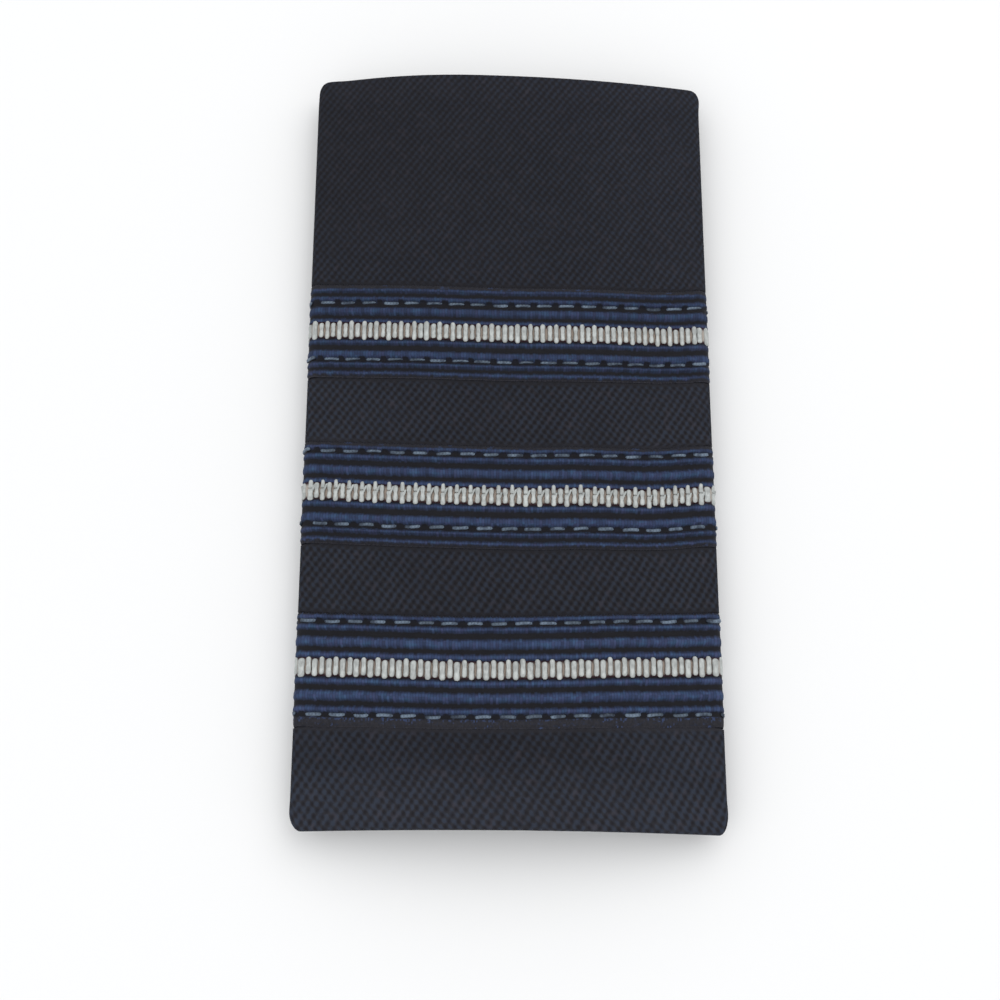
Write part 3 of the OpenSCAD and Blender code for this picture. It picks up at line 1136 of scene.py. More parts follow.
@dataclass(frozen=True)
class FoldedSleeve:
    """The sleeve: one piece of cloth with turned-in ends and a pressed seam down the back.

    Args:
        form: The pressed tube.
        cloth: Thickness of one ply.
        hem_depth: Depth of each turned-in end.
        hem_thick: Thickness of the turned-in ply, pressed flat.
        end_round: Length over which an end is rounded.
        allowance: Width of each seam allowance.
        groove: Half width and depth of the seam's groove.
        column_step: Distance between points round the sleeve.
        row_step: Distance between points along the outer face.
        inner_step: Distance between points along the inner face.
        flat: Width and length that the cloth was cut to, in metres; not used.
        hem_gap: Room between the cloth and its turned-in end.
        hem_dip: How much of the turned-in ply lies lower, instead of narrowing the inside.
        hem_bevel: How far the hem's cut edge is rounded, along it and through it.
        hem_pocket: How near to an end the room under the hem comes, at its faces and in its middle.
        flap_depths: Depth of a seam allowance's two faces under the cloth's inner face.
        flap_bevel: How far its long edges are rounded.
        flap_end: Its distance from a hem.
        seam_columns: Distances from the seam at which points lie close together.
        seam_clear: Distance from the seam to the evenly spaced points.
        fold_beside: Distance from a side fold over which points lie close together.
        fold_columns: Number of points over that stretch.
        skin: Depth to which dents in the outer face reach.
        press_reach: Distance from a braid over which its stitching presses the cloth smooth, which
            is painted with shade and light there.
    """

    form: SleeveForm
    cloth: float = 0.70
    hem_depth: float = 11.0
    hem_thick: float = 0.55
    end_round: float = 0.3
    allowance: float = 6.0
    groove: tuple[float, float] = (0.5, 0.5)
    column_step: float = 0.5
    row_step: float = 0.5
    inner_step: float = 1.3
    flat: tuple[float, float] = (0.116, 0.121)
    hem_gap: float = 0.05
    hem_dip: float = 0.25
    hem_bevel: tuple[float, float] = (0.15, 0.12)
    hem_pocket: tuple[float, float] = (0.80, 0.72)
    flap_depths: tuple[float, float] = (0.03, 0.50)
    flap_bevel: float = 0.14
    flap_end: float = 0.2
    seam_columns: tuple[float, ...] = (0.09, 0.2, 0.33, 0.5)
    seam_clear: float = 0.8
    fold_beside: float = 2.2
    fold_columns: int = 23
    skin: float = 0.5
    press_reach: float = 0.45

    def columns(self) -> np.ndarray:
        """Returns the girths of the points round the sleeve, closer at the folds and the seam."""
        fold, seam = self.form.fold_girth, self.form.seam_girth
        near, last = np.array(self.seam_columns), seam - self.seam_clear
        plain = np.linspace(-last, last, round(2 * last / self.column_step))
        plain = plain[np.abs(np.abs(plain) - fold) > self.fold_beside + 0.15]
        bent = fold + np.linspace(-self.fold_beside, self.fold_beside, self.fold_columns)
        plain = np.sort(np.concatenate([plain, bent, -bent]))
        return np.concatenate([near - seam, plain, (seam - near)[::-1], [seam]])

    def layer(self, depth: np.ndarray) -> tuple[np.ndarray, np.ndarray]:
        """Turns a depth under the outer face into a lift and a shrink.

        Args:
            depth: Distance inward from the outer face.

        Returns:
            Lift over the outer face, and how much the section shrinks, so that the inner layers
            keep clear of each other in the side folds.
        """
        limit = self.cloth + self.hem_gap
        share = np.clip((depth - limit) / self.hem_thick, 0, 1)
        lift = -np.minimum(depth, limit) - share * self.hem_dip
        return lift, share * (self.hem_thick - self.hem_dip)

    def path(self) -> tuple[np.ndarray, np.ndarray, np.ndarray]:
        """Walks once round the cloth's thickness, over both ends.

        Returns:
            Distance along the sleeve, depth under the outer face and distance walked, row by row.
        """
        length, hem = self.form.length, self.hem_depth
        under = self.cloth + self.hem_gap
        inner = under + self.hem_thick
        far = self.half_path(under, inner)
        near = [(length - v, d) for v, d in reversed(far)]
        out = [(v, 0.0) for v in self.outer_rows()]
        half = round((length / 2 - hem) / self.inner_step)
        inside = [(v, self.cloth) for v in np.linspace(length - hem, hem, 2 * half)]
        rows = np.array(inside[half:] + near + out + far + inside[:half])
        walked = np.concatenate([[0], np.cumsum(np.hypot(*np.diff(rows, axis=0).T))])
        return rows[:, 0], rows[:, 1], walked - walked[half + len(near)] + self.end_round

    def outer_rows(self) -> np.ndarray:
        """Returns the rows of the outer face, closer at the edges of the braids."""
        form = self.form
        count = round((form.length - 2 * self.end_round) / self.row_step)
        rows = np.linspace(self.end_round, form.length - self.end_round, count)
        steps = form.braid_clear + np.array([0.0, 0.5, 1.0]) * form.pinch_ramp
        marks = []
        for i, (low, high) in enumerate(form.braid_edges):
            for stray in (form.stray(i, -form.fold_place), form.stray(i, form.fold_place)):
                marks += [form.braid_centre(i) + stray + low - steps,
                          form.braid_centre(i) + stray + high + steps]
        marks = np.sort(np.concatenate(marks))
        marks = marks[np.concatenate([[True], np.diff(marks) > 0.03])]
        clear = np.abs(rows[:, None] - marks[None, :]).min(axis=1) > 0.12
        return np.sort(np.concatenate([rows[clear], marks]))

    def half_path(self, under: float, inner: float) -> list[tuple[float, float]]:
        """Walks round the far end: over the fold, back along the hem and round inside it.

        Args:
            under: Depth of the turned-in ply's outer face.
            inner: Depth of its inner face.

        Returns:
            Distance along the sleeve and depth, row by row.
        """
        length, hem = self.form.length, self.hem_depth
        along, through = self.hem_bevel
        raw, deep = length - hem + along, length - self.hem_pocket[0]
        turns = np.linspace(0, np.pi, 11)[1:-1]
        rows = [(length - self.end_round * (1 - np.sin(a)), inner / 2 * (1 - np.cos(a)))
                for a in turns]
        rows += [(v, inner) for v in np.linspace(length - self.end_round, raw, 10)]
        rows += [(length - hem, inner - through), (length - hem, under + through)]
        rows += [(v, under) for v in np.linspace(raw, deep, 7)]
        rows.append((length - self.hem_pocket[1], (under + self.cloth) / 2))
        rows += [(v, self.cloth) for v in np.linspace(deep, length - hem + 1.5, 7)]
        return rows

    def seam_dip(self, girth: np.ndarray, depth: np.ndarray) -> np.ndarray:
        """Returns how far the outer face turns in at the back seam."""
        half, deep = self.groove
        beside = np.clip(1 - (self.form.seam_girth - np.abs(girth)) / half, 0, 1)
        return deep * beside**2 * np.clip(1 - depth / self.skin, 0, 1)

    def pressed(self, girth: np.ndarray, v: np.ndarray, depth: np.ndarray) -> np.ndarray:
        """Returns 1 on the outer face where a braid's stitching presses the cloth smooth and it is
        painted with shade and light, and 0 far from it.
        """
        near = self.form.beside_braid(v, girth)
        return np.exp(-((near / self.press_reach) ** 2)) * np.clip(1 - depth / self.skin, 0, 1)

    def shell(self) -> tuple[np.ndarray, np.ndarray, np.ndarray]:
        """Makes the folded cloth.

        Returns:
            Points, quads and the map's corners.
        """
        v, depth, walked = self.path()
        girth = self.columns()
        rows, columns = np.meshgrid(np.arange(len(v)), girth, indexing="ij")
        lift, shrink = self.layer(depth[rows] + self.seam_dip(columns, depth[rows]))
        points = self.form.points(columns, v[rows], lift, shrink)
        faces = grid_faces(len(v), len(girth), closed=True)
        first = np.concatenate([[-self.form.seam_girth], girth])
        ring = np.concatenate([walked, [walked[-1] + 1.0]])
        order = np.roll(faces.reshape(len(v), len(girth), 4), 1, axis=1).reshape(-1, 4)
        return points.reshape(-1, 3), order, grid_corners(ring, first)

    def flap(self, side: float) -> tuple[np.ndarray, np.ndarray, np.ndarray]:
        """Makes one seam allowance, pressed flat on the inside of the back.

        Args:
            side: 1 for the right one, -1 for the left one.

        Returns:
            Points, quads and the map's corners.
        """
        seam = self.form.seam_girth
        low, high = (self.cloth + depth for depth in self.flap_depths)
        across = np.array([0.05, 0.12, 1.5, 3.0, 4.5, self.allowance - 0.12, self.allowance])
        bevel = self.flap_bevel * np.array([1, 0, 0, 0, 0, 0, 1])
        outline = np.concatenate([np.stack([across, high - bevel], axis=-1),
                                  np.stack([across, low + bevel], axis=-1)[::-1]])
        end = self.hem_depth + self.flap_end
        v = np.linspace(end, self.form.length - self.hem_depth - self.flap_end, 60)
        rows, columns = np.meshgrid(v, np.arange(len(outline)), indexing="ij")
        girth = side * (seam - outline[columns, 0])
        points = self.form.points(girth, rows, -outline[columns, 1])
        faces = grid_faces(len(v), len(outline))
        ring = np.concatenate([outline[:, 0], outline[:1, 0]])
        return points.reshape(-1, 3), faces, grid_corners(v, side * (seam + ring))

    def build(self, finish: WovenCloth) -> bpy.types.Object:
        """Makes the sleeve.

        Args:
            finish: The cloth.

        Returns:
            The piece.
        """
        points, faces, corners, start = [], [], [], 0
        for p, f, c in (self.shell(), self.flap(1.0), self.flap(-1.0)):
            turned, mapped = outward(p, f, c)
            points.append(p)
            faces.append(turned + start)
            corners.append(mapped)
            start += len(p)
        parts = (np.concatenate(part) for part in (points, faces, corners))
        mesh = make_mesh("sleeve_cloth", *parts, "cloth")
        v, depth, _ = self.path()
        rows, columns = np.meshgrid(np.arange(len(v)), self.columns(), indexing="ij")
        # The bands along the braids, pressed smooth and painted with shade and light by the cloth's
        # material.
        beside = np.zeros(len(mesh.vertices))
        beside[: rows.size] = self.pressed(columns, v[rows], depth[rows]).ravel()
        mark_points(mesh, "beside", beside)
        close_holes(mesh)
        return make_piece("sleeve_cloth", mesh, finish.material())


@dataclass(frozen=True)
class StitchRow:
    """One row of running stitch along a braid.

    Args:
        across: Distance from the braid's centre line, positive toward the plain end.
        first: Girth of the middle of one stitch.
        pitch: Distance from stitch to stitch.
        hole: Half size of a hole between two stitches, along and across.
        line: Half width of the dent between the holes, and its depth as a share of theirs.
    """

    across: float
    first: float
    pitch: float
    hole: tuple[float, float] = (0.45, 0.36)
    line: tuple[float, float] = (0.25, 0.42)

    def girths(self, limit: float) -> np.ndarray:
        """Returns the girths of all its stitches out to a limit on either side."""
        return self.first + numbers_within(limit, self.first, self.pitch) * self.pitch

    def pull(self, girth: np.ndarray, w: np.ndarray) -> np.ndarray:
        """Gives how hard the row draws the braid down.

        Args:
            girth: Place round the sleeve.
            w: Distance from the braid's centre line.

        Returns:
            0 where it is left alone, and 1 in the middle of a hole between two stitches.
        """
        phase = (girth - self.first) / self.pitch
        gap = np.abs(phase - np.floor(phase) - 0.5) * self.pitch
        beside = w - self.across
        hole = np.exp(-((gap / self.hole[0]) ** 4) - (beside / self.hole[1]) ** 4)
        return np.maximum(hole, self.line[1] * np.exp(-((beside / self.line[0]) ** 4)))


class RibPattern(Enum):
    """How the silver ribs of a stripe differ from one to the next."""

    TALL_AND_SHORT = "tall and short in turn"
    STEPPED = "stepped up and down in turn"
    BROKEN = "each second one broken in the middle"


@dataclass(frozen=True)
class Braid:
    """One ribbed braid with its cords, sewn round the sleeve from seam to seam.

    Args:
        name: Name of the braid's node.
        index: Its place, counted from the shoulder end.
        stitches: Its two rows of stitches.
        relief: Its cords.
        form: The pressed tube.
        painted_light: How much painted light its blue thread gets, as a share of the finish's own;
            braids nearer the shoulder end get more.
        lane: Distance between points round the sleeve.
        fold_height: Height to which it is pressed in the side folds.
        fold_keep: How much of its relief is left there.
        fold_reach: How far that reaches round the sleeve.
        thread: Height of the threads that cross the cords, in turn up and down.
        thread_full: Height over the grooves at which they are whole.
        draw: How far a stitch draws the braid down.
        edge: Width over which its edges slope down.
        edge_top: Least height from which they slope.
        edge_drop: How far they slope, and how much less in a side fold.
        least: Least height of its face.
        back: Height of its back.
        comb: How far the threads' ends stand out of an edge, in turn.
        seam: Width over which its ends slope down to the back seam, and how far.
        seam_gap: Distance of its ends from that seam.
    """

    name: str
    index: int
    stitches: tuple[StitchRow, StitchRow]
    relief: BraidRelief
    form: SleeveForm
    painted_light: float
    lane: float = 0.175
    fold_height: float = 0.40
    fold_keep: float = 0.25
    fold_reach: float = 1.9
    thread: float = 0.022
    thread_full: float = 0.4
    draw: float = 0.26
    edge: float = 0.30
    edge_top: float = 0.14
    edge_drop: tuple[float, float] = (0.18, 0.12)
    least: float = 0.04
    back: float = 0.03
    comb: float = 0.05
    seam: tuple[float, float] = (0.7, 0.35)
    seam_gap: float = 0.22

    def fold(self, girth: np.ndarray) -> np.ndarray:
        """Returns 1 in the middle of a side fold and 0 far from it."""
        return np.exp(-(((np.abs(girth) - self.form.fold_girth) / self.fold_reach) ** 2))

    def squeezed(self, girth: np.ndarray, height: np.ndarray | float) -> np.ndarray:
        """Returns a height above the cloth, pressed flat in the side folds."""
        pressed = self.fold_height + self.fold_keep * (height - self.fold_height)
        return height + (pressed - height) * self.fold(girth)

    def along(self, girth: np.ndarray, w: np.ndarray) -> np.ndarray:
        """Returns the place along the cloth of a point at a distance from the centre line."""
        return self.form.braid_centre(self.index) + w + self.form.stray(self.index, girth)

    def pull(self, girth: np.ndarray, w: np.ndarray) -> np.ndarray:
        """Returns how hard the stitches draw the braid down."""
        return np.maximum(*(row.pull(girth, w) for row in self.stitches))

    def build(self, finish: RibbedBraid) -> bpy.types.Object:
        """Makes the braid.

        Args:
            finish: The braid's thread.

        Returns:
            The piece.
        """
        reach = self.form.seam_girth - self.seam_gap
        girth = np.linspace(-reach, reach, round(2 * reach / self.lane))
        low, high = self.relief.edges
        top = self.relief.rows()
        w = np.concatenate([top, np.linspace(high, low, 7)])
        turn = 1 - 2 * (np.arange(len(girth))[:, None] % 2)
        columns, rows = np.meshgrid(girth, w, indexing="ij")
        on_top = np.arange(len(w))[None, :] < len(top)
        sunk = self.pull(columns, rows) * on_top
        plain = self.relief.height(rows)
        cord = np.clip((plain - self.relief.valley) / self.thread_full, 0, 1)
        height = self.squeezed(columns, plain + self.thread * turn * cord - self.draw * sunk)
        slope = np.clip(1 - np.minimum(rows - low, high - rows) / self.edge, 0, 1) * on_top
        drop = self.edge_drop[0] - self.edge_drop[1] * self.fold(columns)
        height = np.maximum(height, self.edge_top) - drop * slope**2
        height = np.where(on_top, np.maximum(height, self.least), self.back)
        wide, deep = self.seam
        at_seam = np.clip(1 - (self.form.seam_girth - np.abs(columns)) / wide, 0, 1)
        height = height - deep * at_seam**2
        comb = self.comb * turn * slope * np.sign(rows)
        points = self.form.points(columns, self.along(columns, rows + comb), height)
        points = points.reshape(-1, 3)
        faces = grid_faces(len(girth), len(w))
        corners = grid_corners(girth, np.concatenate([w, [low]]))[..., ::-1]
        name = f"{self.name}_cords"
        mesh = make_mesh(name, points, *outward(points, faces, corners), "braid")
        mark_points(mesh, "sunk", sunk)
        close_holes(mesh)
        material = finish.material(
            f"{self.name}_thread", self.relief, self.painted_light, self.form.fold_girth
        )
        return make_piece(name, mesh, material)


@dataclass(frozen=True)
class ThreadShape:
    """A short bundle of thread: rings of points round a bent line, closed at both ends.

    Args:
        name: Its name, which also sets its place among the other shapes.
        strands: For each bundle, its rings: along, across, height, half width, half height.
        around: Points in a ring.
    """

    name: str
    strands: tuple[Table, ...]
    around: int = 8

    def build(self, holder: bpy.types.Collection) -> bpy.types.Object:
        """Makes the shape, one unit long.

        Args:
            holder: The collection that holds the shapes.

        Returns:
            The object.
        """
        points, faces, maps = [], [], []
        for rings in self.strands:
            start = len(points)
            turn = np.arange(self.around) / self.around * 2 * np.pi
            for y, x, z, wide, high in rings:
                for a in turn:
                    points.append((x + wide * math.cos(a), y, z + high * math.sin(a)))
            side = [1 - max(0.0, math.sin(a)) for a in turn]
            last = len(rings) - 1
            for i in range(last):
                for j in range(self.around):
                    k = (j + 1) % self.around
                    quad = [(i, j), (i, k), (i + 1, k), (i + 1, j)]
                    faces.append([start + r * self.around + c for r, c in quad])
                    maps += [(side[c], rings[r][0]) for r, c in quad]
            for r, order in ((0, range(self.around)), (last, range(self.around - 1, -1, -1))):
                faces.append([start + r * self.around + c for c in order])
                maps += [(max(side[c], 0.6), rings[r][0]) for c in order]
        mesh = bpy.data.meshes.new(self.name)
        mesh.from_pydata(points, [], faces)
        uv = mesh.uv_layers.new(name="thread")
        uv.uv.foreach_set("vector", np.array(maps, dtype=np.float32).ravel())
        mesh.shade_smooth()
        with editing(mesh) as bm:
            bmesh.ops.recalc_face_normals(bm, faces=bm.faces)
        shape = bpy.data.objects.new(self.name, mesh)
        holder.objects.link(shape)
        return shape


def pill(
    length: float, wide: float, high: float, waists: Table = (), bend: float = 0.0, slim: float = 0.0
) -> Table:
    """Lists the rings of one bundle with round ends.

    Args:
        length: Its length.
        wide: Half its width.
        high: Half its height.
        waists: Places along it, from -0.5 to 0.5, where it narrows, and by how much.
        bend: How far its middle is pushed across.
        slim: How much narrower it is at its far end, as a share.

    Returns:
        The rings.
    """
    rows = []
    for y, end in ((-0.5, 0.40), (-0.46, 0.76), (-0.38, 0.98), (-0.28, 1.0), (-0.17, 1.0),
                   (-0.06, 1.0), (0.06, 1.0), (0.17, 1.0), (0.28, 1.0), (0.38, 0.98),
                   (0.46, 0.76), (0.5, 0.40)):
        cut = sum(deep * math.exp(-(((y - at) / 0.12) ** 2)) for at, deep in waists)
        keep = (1 - cut) * (1 - slim * (y + 0.5))
        lean = bend * math.cos(math.pi * y)
        rows.append((y * length, lean, 0.0, wide * end * keep, high * end * (0.4 + 0.6 * keep)))
    return tuple(rows)


def shifted(rings: Table, along: float, across: float, lean: float = 0.0) -> Table:
    """Moves a bundle's rings along and across, and leans them over to one side."""
    return tuple((y + along, x + across + lean * y, z, a, b) for y, x, z, a, b in rings)


class ThreadRow(Nodes):
    """Geometry nodes that lay thread shapes on marked points, make them real and dress them."""

    SIZES = ("Length", "Width", "Height", "Unevenness")

    def __init__(self, name: str) -> None:
        """Builds the tree, under that name."""
        self.tree = bpy.data.node_groups.new(name, "GeometryNodeTree")
        inputs = [("Geometry", "Geometry"), ("Shapes", "Collection")]
        inputs += [(size, "Float") for size in self.SIZES]
        inputs += [("Seed", "Int"), ("Thread", "Material")]
        for title, kind in inputs:
            self.tree.interface.new_socket(title, in_out="INPUT", socket_type=f"NodeSocket{kind}")
        self.tree.interface.new_socket(
            "Geometry", in_out="OUTPUT", socket_type="NodeSocketGeometry"
        )
        self.wire()

    def named(self, name: str, data_type: str) -> bpy.types.NodeSocket:
        """Returns a mark that each point carries."""
        node = self.node("GeometryNodeInputNamedAttribute", data_type=data_type)
        node.inputs["Name"].default_value = name
        return next(s for s in node.outputs if s.name == "Attribute" and s.enabled)

    def wire(self) -> None:
        """Joins the nodes from the marked points to the finished thread."""
        given = self.node("NodeGroupInput").outputs
        shapes = self.node("GeometryNodeCollectionInfo", transform_space="ORIGINAL")
        shapes = self.fill(shapes, {"Collection": given["Shapes"], "Separate Children": True,
                                    "Reset Children": True})
        stand = self.node("FunctionNodeAxesToRotation", primary_axis="Z", secondary_axis="Y")
        stand = self.fill(stand, {"Primary Axis": self.named("out", "FLOAT_VECTOR"),
                                  "Secondary Axis": self.named("run", "FLOAT_VECTOR")})
        size = self.node("ShaderNodeCombineXYZ")
        for step, (axis, name) in enumerate((("Y", "Length"), ("X", "Width"), ("Z", "Height"))):
            spread = self.node("FunctionNodeRandomValue", data_type="FLOAT")
            low, high = (s for s in spread.inputs if s.name in ("Min", "Max") and s.enabled)
            self.put(low, self.math("SUBTRACT", 1.0, given["Unevenness"]))
            self.put(high, self.math("ADD", 1.0, given["Unevenness"]))
            self.put(spread.inputs["Seed"], self.math("ADD", given["Seed"], step))
            share = next(s for s in spread.outputs if s.enabled)
            self.put(size.inputs[axis], self.math("MULTIPLY", given[name], share))
        own = self.node("ShaderNodeVectorMath", size.outputs[0],
                        self.named("size", "FLOAT_VECTOR"), operation="MULTIPLY")
        laid = self.fill(self.node("GeometryNodeInstanceOnPoints"), {
            "Points": given["Geometry"], "Instance": shapes, "Pick Instance": True,
            "Instance Index": self.named("shape", "INT"), "Rotation": stand,
            "Scale": own.outputs[0],
        })
        real = self.node("GeometryNodeRealizeInstances", laid).outputs[0]
        dress = self.fill(self.node("GeometryNodeSetMaterial"),
                          {"Geometry": real, "Material": given["Thread"]})
        self.node("NodeGroupOutput", dress)

    def lay(
        self,
        name: str,
        spots: "Spots",
        shapes: bpy.types.Collection,
        sizes: tuple[float, float, float],
        uneven: float,
        seed: int,
        material: bpy.types.Material,
    ) -> bpy.types.Object:
        """Lays shapes on points and makes a plain mesh of the result.

        Args:
            name: The piece's name.
            spots: Where each shape lies and how it is turned.
            shapes: The collection of shapes.
            sizes: Length, width and height of a unit of the shape, in millimetres.
            uneven: How much each size may differ, as a share.
            seed: Seed of those differences.
            material: What the thread wears.

        Returns:
            The piece.
        """
        mesh = spots.mesh(name)
        piece = bpy.data.objects.new(name, mesh)
        bpy.context.scene.collection.objects.link(piece)
        modifier = piece.modifiers.new("thread", "NODES")
        modifier.node_group = self.tree
        values = dict(zip(self.SIZES, (*(s * MM for s in sizes), uneven)))
        values |= {"Seed": seed, "Shapes": shapes, "Thread": material}
        for item in self.tree.interface.items_tree:
            if item.item_type == "SOCKET" and item.in_out == "INPUT" and item.name in values:
                modifier[item.identifier] = values[item.name]
        seen = piece.evaluated_get(bpy.context.evaluated_depsgraph_get())
        made = bpy.data.meshes.new_from_object(seen)
        piece.modifiers.clear()
        piece.data = made
        for mark in ("out", "run", "shape", "size"):
            if mark in made.attributes:
                made.attributes.remove(made.attributes[mark])
        made.materials.clear()
        made.materials.append(material)
        return piece


@dataclass
class Spots:
    """Points that thread shapes lie on.

    Args:
        at: Their places in millimetres.
        out: Directions out of the surface.
        run: Directions along which the shapes lie.
        shape: Which shape lies on each.
        size: Its width, length and height, as shares of the row's own.
    """

    at: np.ndarray
    out: np.ndarray
    run: np.ndarray
    shape: np.ndarray
    size: np.ndarray

    def mesh(self, name: str) -> bpy.types.Mesh:
        """Makes a mesh of loose points that carry the marks.

        Args:
            name: The mesh's name.

        Returns:
            The mesh.
        """
        made = bpy.data.meshes.new(name)
        made.from_pydata((self.at * MM).tolist(), [], [])
        for key, kind, slot, value in (
            ("out", "FLOAT_VECTOR", "vector", self.out),
            ("run", "FLOAT_VECTOR", "vector", self.run),
            ("size", "FLOAT_VECTOR", "vector", self.size),
            ("shape", "INT", "value", self.shape),
        ):
            mark = made.attributes.new(key, kind, "POINT")
            dtype = np.int32 if kind == "INT" else np.float32
            mark.data.foreach_set(slot, np.asarray(value, dtype=dtype).ravel())
        return made


@dataclass(frozen=True)
class SilverStripe:
    """The silver centre of a braid: upright bundles of thread, side by side round the sleeve.

    Args:
        name: Name of the stripe's node.
        braid: The braid whose centre it is.
        pattern: How the ribs differ in turn.
        pitch: Distance from rib to rib.
        first: Girth of one rib.
        length: Length of a rib.
        step: How far ribs lie above or below the centre line in turn.
        width: Width of a rib as a share of the pitch.
        height: Height of a rib.
        base: Height of a rib's middle above the cloth.
        fold_spread: How much wider a rib spreads in the side folds, as a share.
        fold_sink: How much lower it lies there.
        end_gap: Distance from the back seam to the last rib, at least.
        uneven: How much its sizes may differ, as a share.
        seeds: Seeds of the ribs' places and of their sizes, to which the braid's index is added.
    """

    name: str
    braid: Braid
    pattern: RibPattern
    pitch: float
    first: float
    length: float = 2.28
    step: float = 0.12
    width: float = 0.88
    height: float = 0.46
    base: float = 0.42
    fold_spread: float = 0.34
    fold_sink: float = 0.10
    end_gap: float = 0.6
    uneven: float = 0.05
    seeds: tuple[int, int] = (11, 5)

    @staticmethod
    def shapes() -> bpy.types.Collection:
        """Makes the rib shapes, one unit long and wide.

        Returns:
            Their collection, which isn't linked to the scene.
        """
        holder = bpy.data.collections.new("rib_shapes")
        waist, beads = ((0.0, 0.30),), ((-0.16, 0.21), (0.17, 0.20))
        whole = (
            pill(1.0, 0.50, 0.50, beads),
            pill(1.0, 0.46, 0.50, waist, 0.03),
            pill(1.0, 0.48, 0.50, ((-0.2, 0.12), (0.1, 0.18)), -0.03),
            pill(1.0, 0.51, 0.50, ((-0.05, 0.10),), -0.03),
            pill(1.0, 0.47, 0.48, ((0.1, 0.14),), 0.05, 0.06),
        )
        broken = (
            (shifted(pill(0.42, 0.43, 0.5, (), 0.0, 0.22), 0.325, 0.0),
             shifted(pill(0.60, 0.46, 0.5, ((0.05, 0.2),)), -0.20, -0.03),
             shifted(pill(0.46, 0.24, 0.42), 0.10, 0.36, 1.5)),
            (shifted(pill(0.45, 0.43, 0.5, (), 0.0, 0.18), 0.315, 0.0),
             shifted(pill(0.58, 0.46, 0.5, ((0.15, 0.18),)), -0.21, 0.0),
             shifted(pill(0.34, 0.22, 0.40), 0.0, 0.34, 1.0)),
        )
        for k, bundles in enumerate([*((rings,) for rings in whole), *broken]):
            ThreadShape(f"rib_{k}", bundles).build(holder)
        return holder

    def build(
        self, rows: ThreadRow, shapes: bpy.types.Collection, material: bpy.types.Material
    ) -> bpy.types.Object:
        """Lays the ribs.

        Args:
            rows: The tree that lays thread.
            shapes: The rib shapes.
            material: The silver thread.

        Returns:
            The piece.
        """
        form, braid = self.braid.form, self.braid
        number = numbers_within(form.seam_girth - self.end_gap, self.first, self.pitch)
        rng = np.random.default_rng(self.seeds[0] + braid.index)
        odd = number % 2 == 1
        plain = rng.choice([0, 1, 2, 3], len(number), p=[0.45, 0.2, 0.25, 0.1])
        kind, rise, stretch = plain, np.zeros(len(number)), np.where(odd, 0.88, 1.14)
        if self.pattern is RibPattern.BROKEN:
            kind = np.where(rng.random(len(number)) < 0.65, 5, 6)
            kind = np.where(odd, np.where(plain == 3, 0, 1), kind)
            rise = np.where(odd, 0.02, -0.02)
        elif self.pattern is RibPattern.STEPPED:
            kind, stretch = np.where(odd, 3, 4), np.ones(len(number))
            rise = np.where(odd, -self.step, self.step)
        girth = self.first + number * self.pitch + rng.normal(0, 0.025, len(number))
        v = braid.along(girth, braid.relief.shift + rise + rng.normal(0, 0.03, len(number)))
        folded = braid.fold(girth)
        at = form.points(girth, v, braid.squeezed(girth, self.base) - self.fold_sink * folded)
        _, along, out = form.directions(girth, v)
        size = np.stack([1 + self.fold_spread * folded, stretch, np.ones(len(number))], axis=-1)
        spots = Spots(at, out, along, kind, size)
        sizes = (self.length, self.pitch * self.width, self.height)
        seed = self.seeds[1] + braid.index
        return rows.lay(f"{self.name}_ribs", spots, shapes, sizes, self.uneven, seed, material)


